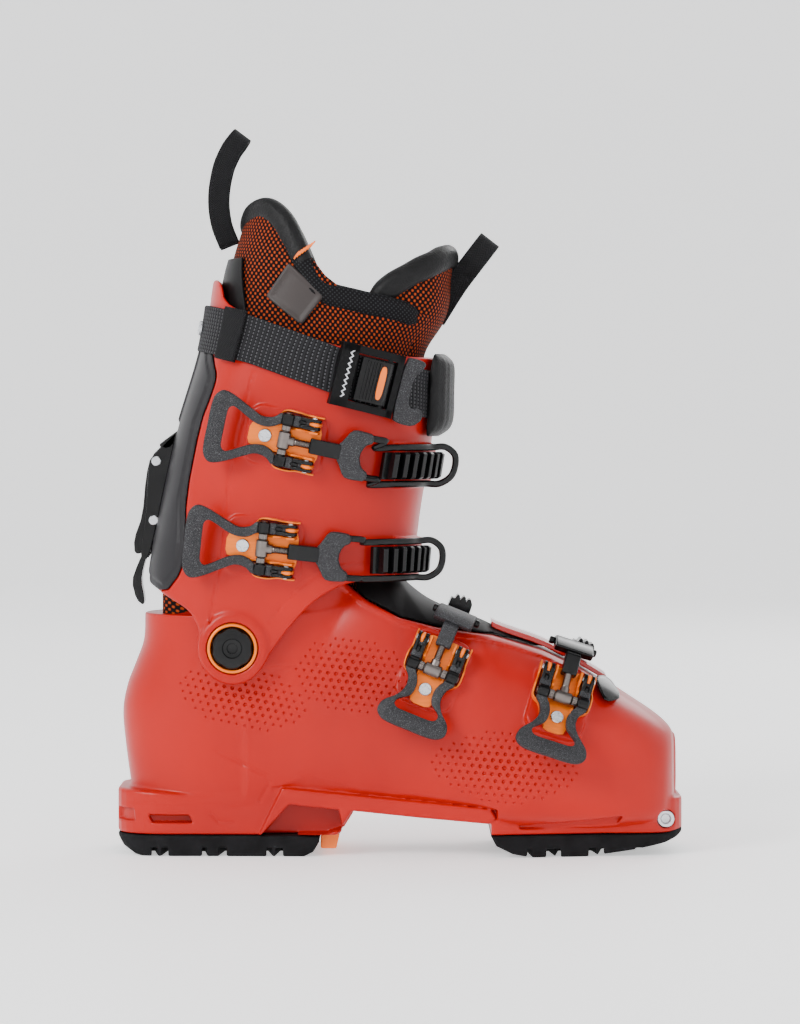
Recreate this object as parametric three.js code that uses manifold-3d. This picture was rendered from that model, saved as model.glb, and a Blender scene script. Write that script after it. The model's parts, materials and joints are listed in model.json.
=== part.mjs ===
// An alpine touring boot for the right foot, in millimetres. X points to the toe, Z is up, and the lateral side,
// which carries the buckle levers, is -Y. The dimensions are measured from a point on the ground near the heel,
// and the finished group is moved so that its origin is on the ground under the middle of its box.
import * as THREE from "three";
import { mergeVertices } from "three/addons/utils/BufferGeometryUtils.js";
import Module from "manifold-3d";

const wasm = await Module();
wasm.setup();

// ---- Driving dimensions ----
const SOLE_REAR = -54.5; // back of the heel lug
const SOLE_FRONT = 254.5; // front of the toe lug: a boot sole 309 mm long
const TREAD = 11.4; // height of the rubber soles
const LUG_HALF_WIDTH = 34.8; // the lugs are 69.6 mm wide
const HEEL_LUG_TOP = 36;
const TOE_LUG_TOP = 31.5;
const WALL = 4.5; // moulded plastic of the lower shell and the cuff
const GAP = 0.35; // between touching pieces
const LINER_FIT = 2.6; // between the liner and the plastic around it
const LINER_WALL = 7;
const FOOT_PADDING = 6;
const PIVOT = { x: 10, z: 114 }; // ankle axis, along Y
const PIVOT_KNOB = 11.5;
const PIVOT_RING = 1.6;
const PIVOT_PROUD = 3; // how far the knob stands out of the cuff
const SPINE_SKIN = 2; // the dark spine over the back of the cuff
const SPOILER_SKIN = 1.6;
const STRAP_SKIN = 2.6;
const CATCH_PAD = 4; // raised plastic under the cuff's catches
const CATCH_HEIGHT = 9;
const WIRE_RADIUS = 1.5;
const SCREW_RADIUS = 3;
const FAR = 100; // past either side of the boot

// Sections of the foot, from the ankle to the toe: x, bottom, top, half width, squareness.
const CLOG = [
  [20, 26, 118, 38, 3],
  [60, 26, 148, 43, 3],
  [80, 25.5, 161, 45.5, 2.8],
  [94, 24.5, 159, 47, 2.7],
  [103, 23.5, 148, 48, 2.6],
  [120, 22, 135.5, 50, 2.5],
  [145, 19.5, 126, 54, 2.5],
  [154, 14, 121.5, 55, 2.5],
  [180, 13.5, 112, 56.5, 2.5],
  [205, 13.5, 98.5, 55, 2.6],
  [225, 14, 85.5, 50, 2.7],
  [240, 15, 75.5, 42, 2.8],
  [248, 20, 68.5, 30, 3],
  [250.6, 30, 64, 14, 3],
];
// Level sections of the heel: z, rear, front, half width, squareness.
const HEEL = [
  [22, -46, 60, 33, 2.4],
  [36, -48, 64, 35.5, 2.4],
  [60, -51.2, 70, 38, 2.3],
  [78, -52.4, 74, 39.5, 2.3],
  [92, -49.8, 78, 40.5, 2.3],
  [105, -44.8, 80, 41.5, 2.3],
  [116, -41, 82, 42, 2.3],
  [131, -40.2, 84, 42, 2.3],
];
// The neck of the lower shell, inside the cuff.
const NECK = [
  [108, -30, 80, 41.5, 2.5],
  [137, -25, 88, 40.5, 2.5],
  [166, -12, 86, 38, 2.5],
];
// The cuff's outer surface, carried on upwards for the liner.
const CUFF = [
  [86, -36, 100, 49.5, 3.1],
  [120, -37, 104, 50, 3.1],
  [150, -37.5, 107, 52.5, 3],
  [185, -31.5, 111, 55, 2.7],
  [230, -21.5, 118, 58.5, 2.6],
  [270, -9.5, 120.5, 61, 2.5],
  [290, -5.5, 132, 61.5, 2.5],
  [316, -1.5, 137, 62, 2.5],
  [340, 5.5, 138, 61, 2.5],
  [364, 10, 140, 58, 2.5],
];

// ---- Solids ----
function solid(geometry) {
  const bare = geometry.index ? geometry.toNonIndexed() : geometry.clone();
  bare.deleteAttribute("normal");
  bare.deleteAttribute("uv");
  const merged = mergeVertices(bare, 1e-3);
  const triVerts = new Uint32Array(merged.index.array);
  const make = () =>
    new wasm.Manifold(
      new wasm.Mesh({ numProp: 3, vertProperties: merged.attributes.position.array, triVerts }),
    );
  const made = make();
  if (made.volume() > 0) return made;
  for (let i = 0; i < triVerts.length; i += 3) {
    [triVerts[i], triVerts[i + 1]] = [triVerts[i + 1], triVerts[i]];
  }
  return make();
}

function geometryOf(manifold) {
  const mesh = manifold.getMesh();
  const positions = new Float32Array(mesh.numVert * 3);
  for (let i = 0; i < mesh.numVert; i++) {
    const start = i * mesh.numProp;
    positions.set(mesh.vertProperties.subarray(start, start + 3), i * 3);
  }
  const geometry = new THREE.BufferGeometry();
  geometry.setAttribute("position", new THREE.BufferAttribute(positions, 3));
  geometry.setIndex(new THREE.BufferAttribute(mesh.triVerts, 1));
  const flat = geometry.toNonIndexed();
  flat.computeVertexNormals();
  return flat;
}

const union = (...solids) => solids.reduce((a, b) => a.add(b));
const box = (x, y, z, at = [0, 0, 0]) => solid(new THREE.BoxGeometry(x, y, z).translate(...at));

// A cylinder whose axis is +Z, turned by the caller.
const rod = (radius, length, at = [0, 0, 0], sides = 12) =>
  solid(new THREE.CylinderGeometry(radius, radius, length, sides).rotateX(Math.PI / 2).translate(...at));

// A cylinder along Y.
const crossRod = (radius, from, to, x, z, sides = 14) =>
  solid(new THREE.CylinderGeometry(radius, radius, to - from, sides).translate(x, (from + to) / 2, z));

// An outline in the XZ plane, run along Y from one value to another.
function sideSlab(points, from, to) {
  const shape = new THREE.Shape(points.map(([x, z]) => new THREE.Vector2(x, z)));
  const slab = new THREE.ExtrudeGeometry(shape, { depth: to - from, bevelEnabled: false });
  return solid(slab.rotateX(Math.PI / 2).translate(0, to, 0));
}

// An outline in the XY plane, run up Z.
function plate(shape, bottom, top) {
  const depth = top - bottom;
  return solid(new THREE.ExtrudeGeometry(shape, { depth, bevelEnabled: false, curveSegments: 5 }).translate(0, 0, bottom));
}

const outline = (points) => new THREE.Shape(points.map(([x, y]) => new THREE.Vector2(x, y)));

// Rows of [position, value, value...], read smoothly at any position.
function along(rows, at) {
  let i = 0;
  while (i < rows.length - 2 && at > rows[i + 1][0]) i++;
  const [a, b] = [rows[i], rows[i + 1]];
  const span = b[0] - a[0];
  const t = THREE.MathUtils.clamp((at - a[0]) / span, 0, 1);
  const slope = (row, k) => {
    const j = rows.indexOf(row);
    const [p, q] = [rows[Math.max(j - 1, 0)], rows[Math.min(j + 1, rows.length - 1)]];
    return (q[k] - p[k]) / (q[0] - p[0]);
  };
  return a.slice(1).map((from, n) => {
    const to = b[n + 1];
    const [m0, m1] = [slope(a, n + 1) * span, slope(b, n + 1) * span];
    const [t2, t3] = [t * t, t * t * t];
    return (2 * t3 - 3 * t2 + 1) * from + (t3 - 2 * t2 + t) * m0 + (3 * t2 - 2 * t3) * to + (t3 - t2) * m1;
  });
}

const bulge = (value, squareness) => Math.sign(value) * Math.abs(value) ** (2 / squareness);

// A closed skin over rings of equal length, with a flat end on each side.
function loft(rings) {
  const count = rings[0].length;
  const positions = [];
  const put = (...points) => points.forEach((p) => positions.push(p.x, p.y, p.z));
  for (let r = 0; r + 1 < rings.length; r++) {
    for (let i = 0; i < count; i++) {
      const j = (i + 1) % count;
      put(rings[r][i], rings[r][j], rings[r + 1][j]);
      put(rings[r][i], rings[r + 1][j], rings[r + 1][i]);
    }
  }
  const middle = (ring) => ring.reduce((sum, p) => sum.add(p), new THREE.Vector3()).divideScalar(count);
  const [first, last] = [rings[0], rings[rings.length - 1]];
  for (let i = 0; i < count; i++) {
    const j = (i + 1) % count;
    put(middle(first), first[j], first[i]);
    put(middle(last), last[i], last[j]);
  }
  const geometry = new THREE.BufferGeometry();
  geometry.setAttribute("position", new THREE.Float32BufferAttribute(positions, 3));
  return solid(geometry);
}

const steps = (from, to, count) => Array.from({ length: count + 1 }, (_, i) => from + ((to - from) * i) / count);
const ringOf = (count, place) => Array.from({ length: count }, (_, i) => place((2 * Math.PI * i) / count));

const FOOT_SIDES = 20;
const FOOT_FLOOR_SHARE = 0.4; // the widest level of a foot section, as a share of its height
const FOOT_FLOOR_SQUARE = 4;
const TOE_TURN = 4; // how far the toe box leans to the big toe
const TOE_TURN_START = 120;

// A point on the foot, at x and an angle round the section, moved in by an inset.
function footPoint(x, angle, inset = 0) {
  const [bottom, top, half, square] = along(CLOG, x);
  const waist = bottom + FOOT_FLOOR_SHARE * (top - bottom);
  const upper = Math.sin(angle) >= 0;
  const power = upper ? square : FOOT_FLOOR_SQUARE;
  const rise = upper ? top - waist - inset : waist - bottom - inset;
  const turn = TOE_TURN * THREE.MathUtils.smoothstep(x, TOE_TURN_START, SOLE_FRONT);
  const y = turn + Math.max(half - inset, 0.5) * bulge(Math.cos(angle), power);
  return new THREE.Vector3(x, y, waist + Math.max(rise, 0.5) * bulge(Math.sin(angle), power));
}

function foot(inset) {
  const [from, to] = [CLOG[0][0], CLOG[CLOG.length - 1][0]];
  const stations = steps(from, to - 12, 9).concat([to - 6, to - 2, to]);
  const squeeze = (x) => (inset ? from + ((x - from) * (to - inset - from)) / (to - from) : x);
  return loft(
    stations.map((x) =>
      ringOf(FOOT_SIDES, (angle) => {
        const p = footPoint(x, angle, inset);
        p.x = squeeze(x);
        return p;
      }),
    ),
  );
}

// A point on a tube of level sections, at z and an angle from the front, moved out by an offset.
function tubePoint(rows, z, angle, offset = 0) {
  const [rear, front, half, square] = along(rows, z);
  const [middle, depth] = [(rear + front) / 2, (front - rear) / 2 + offset];
  const x = middle + depth * bulge(Math.cos(angle), square);
  return new THREE.Vector3(x, (half + offset) * bulge(Math.sin(angle), square), z);
}

// Tubes of one surface share their levels, so that they nest without touching.
const TUBE_SIDES = 20;
const CUFF_LEVELS = [118, 148, 180, 212, 240, 266, 278, 294, 318, 342];
const HEEL_LEVELS = [38, 58, 78, 92, 106, 120];

function tube(rows, offset, from, to) {
  const shared = rows === CUFF ? CUFF_LEVELS : HEEL_LEVELS;
  const levels = [from, ...shared.filter((z) => z > from + 1 && z < to - 1), to];
  return loft(levels.map((z) => ringOf(TUBE_SIDES, (angle) => tubePoint(rows, z, angle, offset))));
}

// ---- Where pieces sit on the outside ----
// The point of the cuff, on the lateral side, at a given x and z.
function lateralCuff(x, z) {
  const [rear, front, , square] = along(CUFF, z);
  const share = (x - (rear + front) / 2) / ((front - rear) / 2);
  return tubePoint(CUFF, z, -Math.acos(bulge(share, 4 / square)));
}

function lateralFoot(x, z) {
  const [bottom, top, , square] = along(CLOG, x);
  const waist = bottom + FOOT_FLOOR_SHARE * (top - bottom);
  return footPoint(x, Math.PI - Math.asin(((z - waist) / (top - waist)) ** (square / 2)));
}

// A group standing on the surface: its X runs at a slope seen from the side, and its Z points out of the boot.
function frameOn(surface, x, z, slope) {
  const across = surface(x + 1, z).sub(surface(x - 1, z));
  const upward = surface(x, z + 1).sub(surface(x, z - 1));
  const out = across.clone().cross(upward).normalize();
  const angle = THREE.MathUtils.degToRad(slope);
  const forward = across.multiplyScalar(Math.cos(angle)).addScaledVector(upward, Math.sin(angle)).normalize();
  const basis = new THREE.Matrix4().makeBasis(forward, out.clone().cross(forward), out);
  const group = new THREE.Group();
  group.applyMatrix4(basis.setPosition(surface(x, z)));
  group.updateMatrixWorld();
  boot.add(group);
  return group;
}

function roundWire(points, radius, count) {
  const circle = new THREE.Shape(ringOf(6, (a) => new THREE.Vector2(radius * Math.cos(a), radius * Math.sin(a))));
  return solid(new THREE.ExtrudeGeometry(circle, { steps: count, extrudePath: new THREE.CatmullRomCurve3(points) }));
}

// ---- The model, piece by piece ----
const boot = new THREE.Group();
const FINISH = {
  red: { color: 0xe8402a, roughness: 0.42 },
  gloss: { color: 0xd6301f, roughness: 0.2 },
  dark: { color: 0x2a2a2c, roughness: 0.5 },
  black: { color: 0x141415, roughness: 0.25 },
  lever: { color: 0x48484a, roughness: 0.55, metalness: 0.3 },
  orange: { color: 0xf47c20, roughness: 0.4 },
  steel: { color: 0xc8cacc, roughness: 0.3, metalness: 1 },
  rubber: { color: 0x232325, roughness: 0.9 },
  mesh: { color: 0x8a5230, roughness: 0.95 },
  webbing: { color: 0x1d1e20, roughness: 0.85 },
  foam: { color: 0x3a3a3c, roughness: 0.9 },
};

function add(name, finish, made, parent = boot) {
  const mesh = new THREE.Mesh(geometryOf(made), new THREE.MeshStandardMaterial(FINISH[finish]));
  mesh.name = name;
  parent.add(mesh);
}

const clear = (points) => sideSlab(points, -FAR, FAR);
const pair = (a, b) => [Math.min(a, b), Math.max(a, b)];

// ---- Soles ----
// A lug seen from above: straight sides that run in to a narrower or wider inner end, and a round outer end.
function lugPlan(end, inner, innerHalf, round) {
  const way = Math.sign(end - inner);
  const half = LUG_HALF_WIDTH;
  const straight = end - way * 45;
  const shape = new THREE.Shape();
  shape.moveTo(inner, -innerHalf);
  shape.lineTo(straight, -half);
  shape.lineTo(end - way * round, -half);
  shape.bezierCurveTo(end - way * round * 0.35, -half, end, -half * 0.72, end, -half * 0.4);
  shape.lineTo(end, half * 0.4);
  shape.bezierCurveTo(end, half * 0.72, end - way * round * 0.35, half, end - way * round, half);
  shape.lineTo(straight, half);
  shape.lineTo(inner, innerHalf);
  return shape;
}
const heelPlan = () => lugPlan(SOLE_REAR, 76, 37, 30);
const toePlan = () => lugPlan(SOLE_FRONT, 148, 45, 26);

const HEEL_SCREW_X = -4;
const TOE_SCREW_X = 186;
const SCREW_TOP = 20;
const SCREW_HEAD = { radius: 4.6, from: 3, to: 6 };
const TOE_INSERT = { x: 244.5, z: 19.8, radius: 4.6, from: 24.5, to: 29.6, socket: 2.6, deep: 2.4 };
const HEEL_INSERT = { half: 10, from: 14, to: 31, depth: 3.4 };
const SPACER = { from: 56.6, to: 67.4, bottom: 3.5, half: 30 };
const LUG_BASE = TREAD + 1; // where the plastic of the lugs begins
const FLOOR_TOP = 30;

const screwWay = (x) => {
  const head = rod(SCREW_HEAD.radius + GAP, SCREW_HEAD.to + 2, [x, 0, (SCREW_HEAD.to + 2) / 2 - 1.5]);
  return head.add(rod(SCREW_RADIUS + GAP, SCREW_TOP + 1, [x, 0, (SCREW_TOP + 1) / 2 - 0.5]));
};

function soleScrew(x) {
  const { radius, from, to } = SCREW_HEAD;
  const shank = rod(SCREW_RADIUS, SCREW_TOP - from, [x, 0, (SCREW_TOP + from) / 2]);
  return shank.add(rod(radius, to - from, [x, 0, (to + from) / 2]));
}

const grooves = (places, width) => union(...places.map((x) => box(width, 90, 4, [x, 0, 1.8])));

function heelSole() {
  const end = SPACER.from - GAP;
  const side = [
    [SOLE_REAR - 1, TREAD], [SOLE_REAR + 4, 5], [SOLE_REAR + 11, 0.6], [SOLE_REAR + 14, 0], [end - 8, 0],
    [end - 3, 2.5], [end, 8], [end, TREAD],
  ];
  const body = plate(heelPlan(), 0, TREAD).intersect(clear(side));
  return body.subtract(grooves([-36, -18, 12, 31], 2.6)).subtract(screwWay(HEEL_SCREW_X));
}

function toeSole() {
  const top = LUG_BASE - GAP;
  const side = [
    [149, top], [152, 6.5], [161, 2], [171, 0], [203, 0], [226, 3.4], [244, 7], [SOLE_FRONT - 4, 9.5],
    [SOLE_FRONT + 1, top],
  ];
  const body = plate(toePlan(), 0, top).intersect(clear(side));
  return body.subtract(grooves([177.5, 196], 3)).subtract(screwWay(TOE_SCREW_X));
}

function soleSpacer() {
  const { from, to, bottom, half } = SPACER;
  return sideSlab([[from, bottom], [to - 2, bottom], [to, LUG_BASE - GAP], [from, LUG_BASE - GAP]], -half, half);
}

function toeInsert(side) {
  const { x, z, radius, from, to, socket, deep } = TOE_INSERT;
  const [low, high] = pair(side * (from + GAP), side * to);
  const cone = new THREE.CylinderGeometry(side > 0 ? socket : 1, side > 0 ? 1 : socket, deep + 0.2, 12);
  const mouth = solid(cone.translate(x, side * (to - deep / 2 + 0.1), z));
  return crossRod(radius, low, high, x, z, 18).subtract(mouth);
}

function heelInsert() {
  const { half, from, to, depth } = HEEL_INSERT;
  const body = box(depth - 2 * GAP, 2 * half, to - from, [SOLE_REAR + depth / 2, 0, (to + from) / 2]);
  const slots = [-5.5, 5.5].map((y) => box(2.4, 3, 11, [SOLE_REAR + GAP, y, (to + from) / 2]));
  return body.subtract(union(...slots));
}

// ---- Lower shell ----
// The seam between the plastic of the lower shell and the soft gasket over the instep.
const SEAM = [[66, 152], [72, 147], [82, 139], [100, 129.5], [120, 124], [150, 119.5], [178, 111], [197, 102], [214, 91]];
const overSeam = (lift) =>
  clear([...SEAM.map(([x, z]) => [x + lift, z + lift]), [240 + lift, 110], [240 + lift, 230], [66 + lift, 230]]);

function lowerShell() {
  const heelSide = [
    [SOLE_REAR - 1, TREAD + GAP], [SPACER.from, TREAD + GAP], [SPACER.from, LUG_BASE], [SPACER.to, LUG_BASE],
    [75, 26], [75, 38], [40, 37.5], [-12, 32], [-44, HEEL_LUG_TOP], [SOLE_REAR - 1, HEEL_LUG_TOP],
  ];
  const toeSide = [
    [148, LUG_BASE], [SOLE_FRONT + 1, LUG_BASE], [SOLE_FRONT + 1, TOE_LUG_TOP], [230, TOE_LUG_TOP], [200, 24], [148, 22],
  ];
  const lugs = plate(heelPlan(), 0, 60).intersect(clear(heelSide)).add(plate(toePlan(), 0, 60).intersect(clear(toeSide)));
  const outside = union(foot(0), tube(HEEL, 0, 22, 131), tube(NECK, 0, 108, 166), lugs);
  const inside = union(foot(WALL), tube(HEEL, -WALL, FLOOR_TOP, 132), tube(NECK, -WALL, 100, 180), boardBay());
  const floor = plate(outline([[-34, -24], [228, -24], [228, 24], [-34, 24]]), LUG_BASE + 2, FLOOR_TOP);
  const { x, z, radius, from, to } = TOE_INSERT;
  const insertHoles = [-1, 1].map((side) => crossRod(radius + GAP, ...pair(side * from, side * (to + 30)), x, z, 18));
  const { half, from: low, to: high, depth } = HEEL_INSERT;
  const plateHole = box(depth + 1, 2 * (half + GAP), high - low + 2 * GAP, [SOLE_REAR + (depth - 1) / 2, 0, (high + low) / 2]);
  return outside.subtract(inside).add(floor.intersect(outside)).subtract(plateHole).subtract(union(...insertHoles))
    .subtract(screwWay(HEEL_SCREW_X)).subtract(screwWay(TOE_SCREW_X)).subtract(overSeam(0));
}

const BOARD = { bottom: FLOOR_TOP + GAP, thick: 4 };

function boardPlan(margin) {
  const side = [[-34, 16], [-20, 20], [20, 22], [120, 26], [180, 30], [222, 22]];
  const [rear, front] = [side[0][0], side[side.length - 1][0]];
  const grown = side.map(([x, y]) => [x + (x === rear ? -margin : x === front ? margin : 0), y + margin]);
  return outline([...grown.map(([x, y]) => [x, -y]), ...grown.reverse()]);
}
const bootBoard = () => plate(boardPlan(0), BOARD.bottom, BOARD.bottom + BOARD.thick);
const boardBay = () => plate(boardPlan(GAP), FLOOR_TOP, BOARD.bottom + BOARD.thick + GAP);

const instepGasket = () =>
  foot(0).subtract(foot(3)).intersect(overSeam(GAP)).intersect(
    clear([[76, 100], [205, 80], [205, 160], [112, 150], [98, 157], [76, 158]]),
  );

const FLAP = { from: 150, to: 213, half: 15, thick: 4, lift: 0.6 };
const instepTop = (x) => footPoint(x, Math.PI / 2).z;

// A firm strip along the ridge of the instep, which carries the toe buckle's catch.
function overlapStrip() {
  const under = steps(FLAP.from, FLAP.to, 5).map((x) => [x, instepTop(x) + FLAP.lift]);
  const over = [...under].reverse().map(([x, z]) => [x + 1, z + FLAP.thick]);
  return sideSlab([...under, ...over], -FLAP.half, FLAP.half);
}

const stripClip = () =>
  foot(-3.6).subtract(foot(-GAP)).intersect(
    sideSlab([[206, 98], [214, 97], [221, 86], [211, 84], [207, 91]], -60, -FLAP.half - 1),
  );

// ---- Liner ----
const LINER_OUT = -WALL - LINER_FIT;
const LINER_TOP = [
  [150, 280], [132, 284], [116, 294], [92, 299], [74, 304], [60, 315], [48, 333], [36, 350], [22, 357], [12, 352],
  [8, 330], [-14, 320], [-30, 300],
];
const SHAFT_BOTTOM = 168;
const linerTube = (offset, from, to) => tube(CUFF, LINER_OUT + offset, from, to);
const TONGUE = { half: 32, bottom: 172, back: 84 };

function linerShaft() {
  const wall = linerTube(0, 128, 358).subtract(linerTube(-LINER_WALL, 120, 362));
  const notch = box(100, 2 * (TONGUE.half + 1), 400, [TONGUE.back + 50, 0, 200]);
  return wall.intersect(clear([[-60, SHAFT_BOTTOM], [150, SHAFT_BOTTOM], ...LINER_TOP])).subtract(notch);
}

function linerTongue() {
  const skin = linerTube(0, 128, 358).subtract(linerTube(-LINER_WALL - 1, 120, 362));
  const side = [
    [TONGUE.back, TONGUE.bottom], [120, TONGUE.bottom], [150, 250], [150, 312], [139, 324], [124, 331], [108, 326],
    [TONGUE.back + 8, 306], [TONGUE.back, 300],
  ];
  return skin.intersect(clear(side)).intersect(box(400, 2 * TONGUE.half, 400, [80, 0, 200]));
}

function linerFoot() {
  const inset = WALL + 1;
  const outer = foot(inset).add(tube(HEEL, -inset, 34, 126));
  const cavity = foot(inset + FOOT_PADDING).add(tube(HEEL, -inset - FOOT_PADDING, 34, 140));
  const soleTop = BOARD.bottom + BOARD.thick + GAP;
  const below = (z) => box(600, 200, 100, [100, 0, z - 50]);
  const top = [[-60, 30], [260, 30], [260, 90], [150, 104], [112, 116], [84, 127], [-60, 127]];
  return outer.subtract(cavity.subtract(below(soleTop + 4))).intersect(clear(top)).subtract(below(soleTop));
}

// Two legs of webbing, joined at the top, that follow a centre line from their foot upwards.
function pullLoop(points, width, halfSpan, thick) {
  const curve = new THREE.SplineCurve(points.map(([x, z]) => new THREE.Vector2(x, z)));
  const band = (from, to, across) => {
    const edge = (side) => steps(from, to, 7).map((t) => {
      const [at, tangent] = [curve.getPointAt(t), curve.getTangentAt(t)];
      return [at.x - (side * tangent.y * across) / 2, at.y + (side * tangent.x * across) / 2];
    });
    return [...edge(1), ...edge(-1).reverse()];
  };
  const inside = halfSpan - thick;
  const [x, z] = points[0];
  const mouth = box(width * 2, 2 * inside, width, [x, 0, z - width * 0.4]);
  const gap = sideSlab(band(0, 1 - thick / curve.getLength(), width * 1.6), -inside, inside).add(mouth);
  return sideSlab(band(0, 1, width), -halfSpan, halfSpan).subtract(gap).subtract(linerTube(GAP, 280, 364));
}

const spoiler = () => {
  const skin = tube(CUFF, -WALL - GAP, 270, 330).subtract(tube(CUFF, -WALL - GAP - SPOILER_SKIN, 262, 338));
  return skin.intersect(clear([[-20, 276], [12, 276], [15, 300], [11, 326], [-4, 324], [-20, 310]]));
};

// ---- Cuff ----
const CUFF_SIDE = [
  [109, 153], [73, 150], [55, 141], [40, 125], [26, 105], [19, 97], [10, 94], [1, 97], [-5, 104], [-7.5, 115],
  [-8, 124], [-13, 134], [-27, 142], [-42, 150.5], [-42, 240], [-14, 290], [-8, 313], [3.4, 313], [6, 297], [60, 277],
  [100, 270], [140, 271], [140, 200], [116, 170],
];
const SPINE_SIDE = [
  [-60, 160], [-42, 150.5], [-27, 142], [-17, 155], [-15, 170], [-15, 195], [-7, 235], [-1, 250], [2, 260], [0, 268],
  [-2, 284], [-30, 292], [-60, 292],
];
const SLIT = { y: 16, width: 1.2 };
const cuffTube = (offset) => tube(CUFF, offset, 88, 316);
const CATCHES = { 3: { z: 161.5, half: 7.3 }, 4: { z: 212, half: 7.3 } };
const CATCH_SPAN = { from: -44, to: -19.5 }; // across the front of the cuff, in y
const PAD_MARGIN = { y: 4, z: 3 };
const acrossFront = (from, to) => sideSlab([[96, 0], [200, 0], [200, 400], [96, 400]], from, to);
const level = (z, half) => box(400, 400, 2 * half, [100, 0, z]);

function cuff() {
  const wall = cuffTube(0).subtract(cuffTube(-WALL)).intersect(clear(CUFF_SIDE));
  const recess = cuffTube(6).subtract(cuffTube(-SPINE_SKIN - GAP)).intersect(clear(SPINE_SIDE));
  const slit = box(60, SLIT.width, 260, [110, SLIT.y, 200]);
  const padSpan = acrossFront(CATCH_SPAN.from - PAD_MARGIN.y, CATCH_SPAN.to + PAD_MARGIN.y);
  const pads = Object.values(CATCHES).map(({ z, half }) => level(z, half + PAD_MARGIN.z));
  const raised = cuffTube(CATCH_PAD).subtract(cuffTube(-1)).intersect(padSpan).intersect(union(...pads));
  const pivotHole = crossRod(PIVOT_KNOB + PIVOT_RING + 2 * GAP, -FAR, FAR, PIVOT.x, PIVOT.z, 24);
  return wall.subtract(recess).add(raised.intersect(clear(CUFF_SIDE))).subtract(slit).subtract(pivotHole);
}

// An outline with every edge moved in.
function shrunk(points, by) {
  const turn = THREE.ShapeUtils.area(points.map(([x, y]) => ({ x, y }))) > 0 ? 1 : -1;
  const at = (i) => new THREE.Vector2(...points[(i + points.length) % points.length]);
  return points.map((_, i) => {
    const [before, after] = [at(i).sub(at(i - 1)).normalize(), at(i + 1).sub(at(i)).normalize()];
    const [n0, n1] = [before, after].map((d) => new THREE.Vector2(-d.y, d.x).multiplyScalar(turn));
    const move = n0.clone().add(n1).multiplyScalar(by / (1 + n0.dot(n1)));
    return at(i).add(move).toArray();
  });
}

const cuffSpine = () =>
  cuffTube(0).subtract(cuffTube(-SPINE_SKIN)).intersect(clear(shrunk(SPINE_SIDE, GAP))).intersect(clear(CUFF_SIDE));

// The pivots reach from just outside the lower shell to a little proud of the cuff.
const PIVOT_Y = { inner: 42.4, cuff: 50 };

function pivotRing(side) {
  const [from, to] = pair(side * (PIVOT_Y.cuff - WALL), side * (PIVOT_Y.cuff + 1.4));
  const hole = crossRod(PIVOT_KNOB + GAP, from - 1, to + 1, PIVOT.x, PIVOT.z, 28);
  return crossRod(PIVOT_KNOB + PIVOT_RING + GAP, from, to, PIVOT.x, PIVOT.z, 28).subtract(hole);
}

function pivotKnob(side, proud) {
  const [from, to] = pair(side * PIVOT_Y.inner, side * (PIVOT_Y.cuff + proud));
  const socket = crossRod(3, ...pair(side * (PIVOT_Y.cuff + proud - 1.5), side * FAR), PIVOT.x, PIVOT.z, 6);
  return crossRod(PIVOT_KNOB, from, to, PIVOT.x, PIVOT.z, 28).subtract(socket);
}

// ---- Walk mechanism, on the back of the spine ----
const WALK = { pivot: [-33.5, 214], hook: [-35, 181.6], half: 9, wall: 2.4, pin: 1.8 };
const WALK_SIDE = [[-20, 232], [-27, 226], [-37, 216], [-38, 204], [-39, 184], [-43, 160], [-36, 158], [-20, 180]];

function walkHousing() {
  const body = sideSlab(WALK_SIDE, -WALK.half, WALK.half).subtract(cuffTube(GAP));
  const channel = sideSlab([[-60, 222], [-29, 222], [-27, 204], [-31, 184], [-37, 150], [-60, 150]],
    -WALK.half + WALK.wall, WALK.half - WALK.wall);
  const pins = [WALK.pivot, WALK.hook].map(([x, z]) => crossRod(WALK.pin + GAP, -FAR, FAR, x, z));
  return body.subtract(channel).subtract(union(...pins));
}

const walkPin = ([x, z]) => crossRod(WALK.pin, -WALK.half - 0.8, WALK.half + 0.8, x, z);

// The lever lies outside the hook, and its lower end flips away from the boot.
function walkLever() {
  const half = WALK.half - WALK.wall - GAP;
  const side = [[-33, 218.5], [-37, 217], [-39.5, 206], [-41.5, 184], [-46, 171], [-45.5, 163], [-41, 164], [-40.5, 172],
    [-37.6, 187], [-34.5, 203], [-30.5, 210], [-30, 216]];
  const [x, z] = WALK.pivot;
  return sideSlab(side, -half, half).add(crossRod(4.4, -half, half, x, z, 12)).subtract(crossRod(WALK.pin + GAP, -FAR, FAR, x, z));
}

function walkHook() {
  const half = WALK.half - WALK.wall - GAP;
  const [x, z] = WALK.hook;
  const side = [[-33, 184], [-37, 184], [-38.4, 176], [-39.8, 166], [-44, 158], [-47.5, 148], [-45, 138], [-41, 134.5],
    [-39.6, 138], [-41.5, 148], [-40, 156], [-36.5, 166], [-34, 174]];
  return sideSlab(side, -half, half).add(crossRod(3.2, -half, half, x, z, 12)).subtract(crossRod(WALK.pin + GAP, -FAR, FAR, x, z))
    .subtract(cuffTube(GAP));
}

// ---- Power strap ----
const STRAP_LINE = [[-20, 302.5], [18.6, 293], [79.3, 271], [140, 258]];
const STRAP_WIDTH = 26;
const strapBand = (margin) =>
  clear([...STRAP_LINE.map(([x, z]) => [x, z + margin]), ...[...STRAP_LINE].reverse().map(([x, z]) => [x, z - STRAP_WIDTH - margin])]);
const STRAP_TOP = GAP + STRAP_SKIN;
const wrap = (from, to) => tube(CUFF, to, 200, 330).subtract(tube(CUFF, from, 190, 340));
const powerStrap = () => wrap(GAP, STRAP_TOP).intersect(strapBand(0));
const strapKeeper = () => wrap(STRAP_TOP + GAP, STRAP_TOP + 2.4).intersect(strapBand(2)).intersect(
  sideSlab([[3.5, 200], [18, 200], [18, 330], [3.5, 330]], -FAR, 0));
const strapPad = () => wrap(STRAP_TOP + GAP, STRAP_TOP + 10).intersect(
  sideSlab([[111, 225], [150, 229], [150, 272], [116, 274]], -34, 30));

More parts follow.
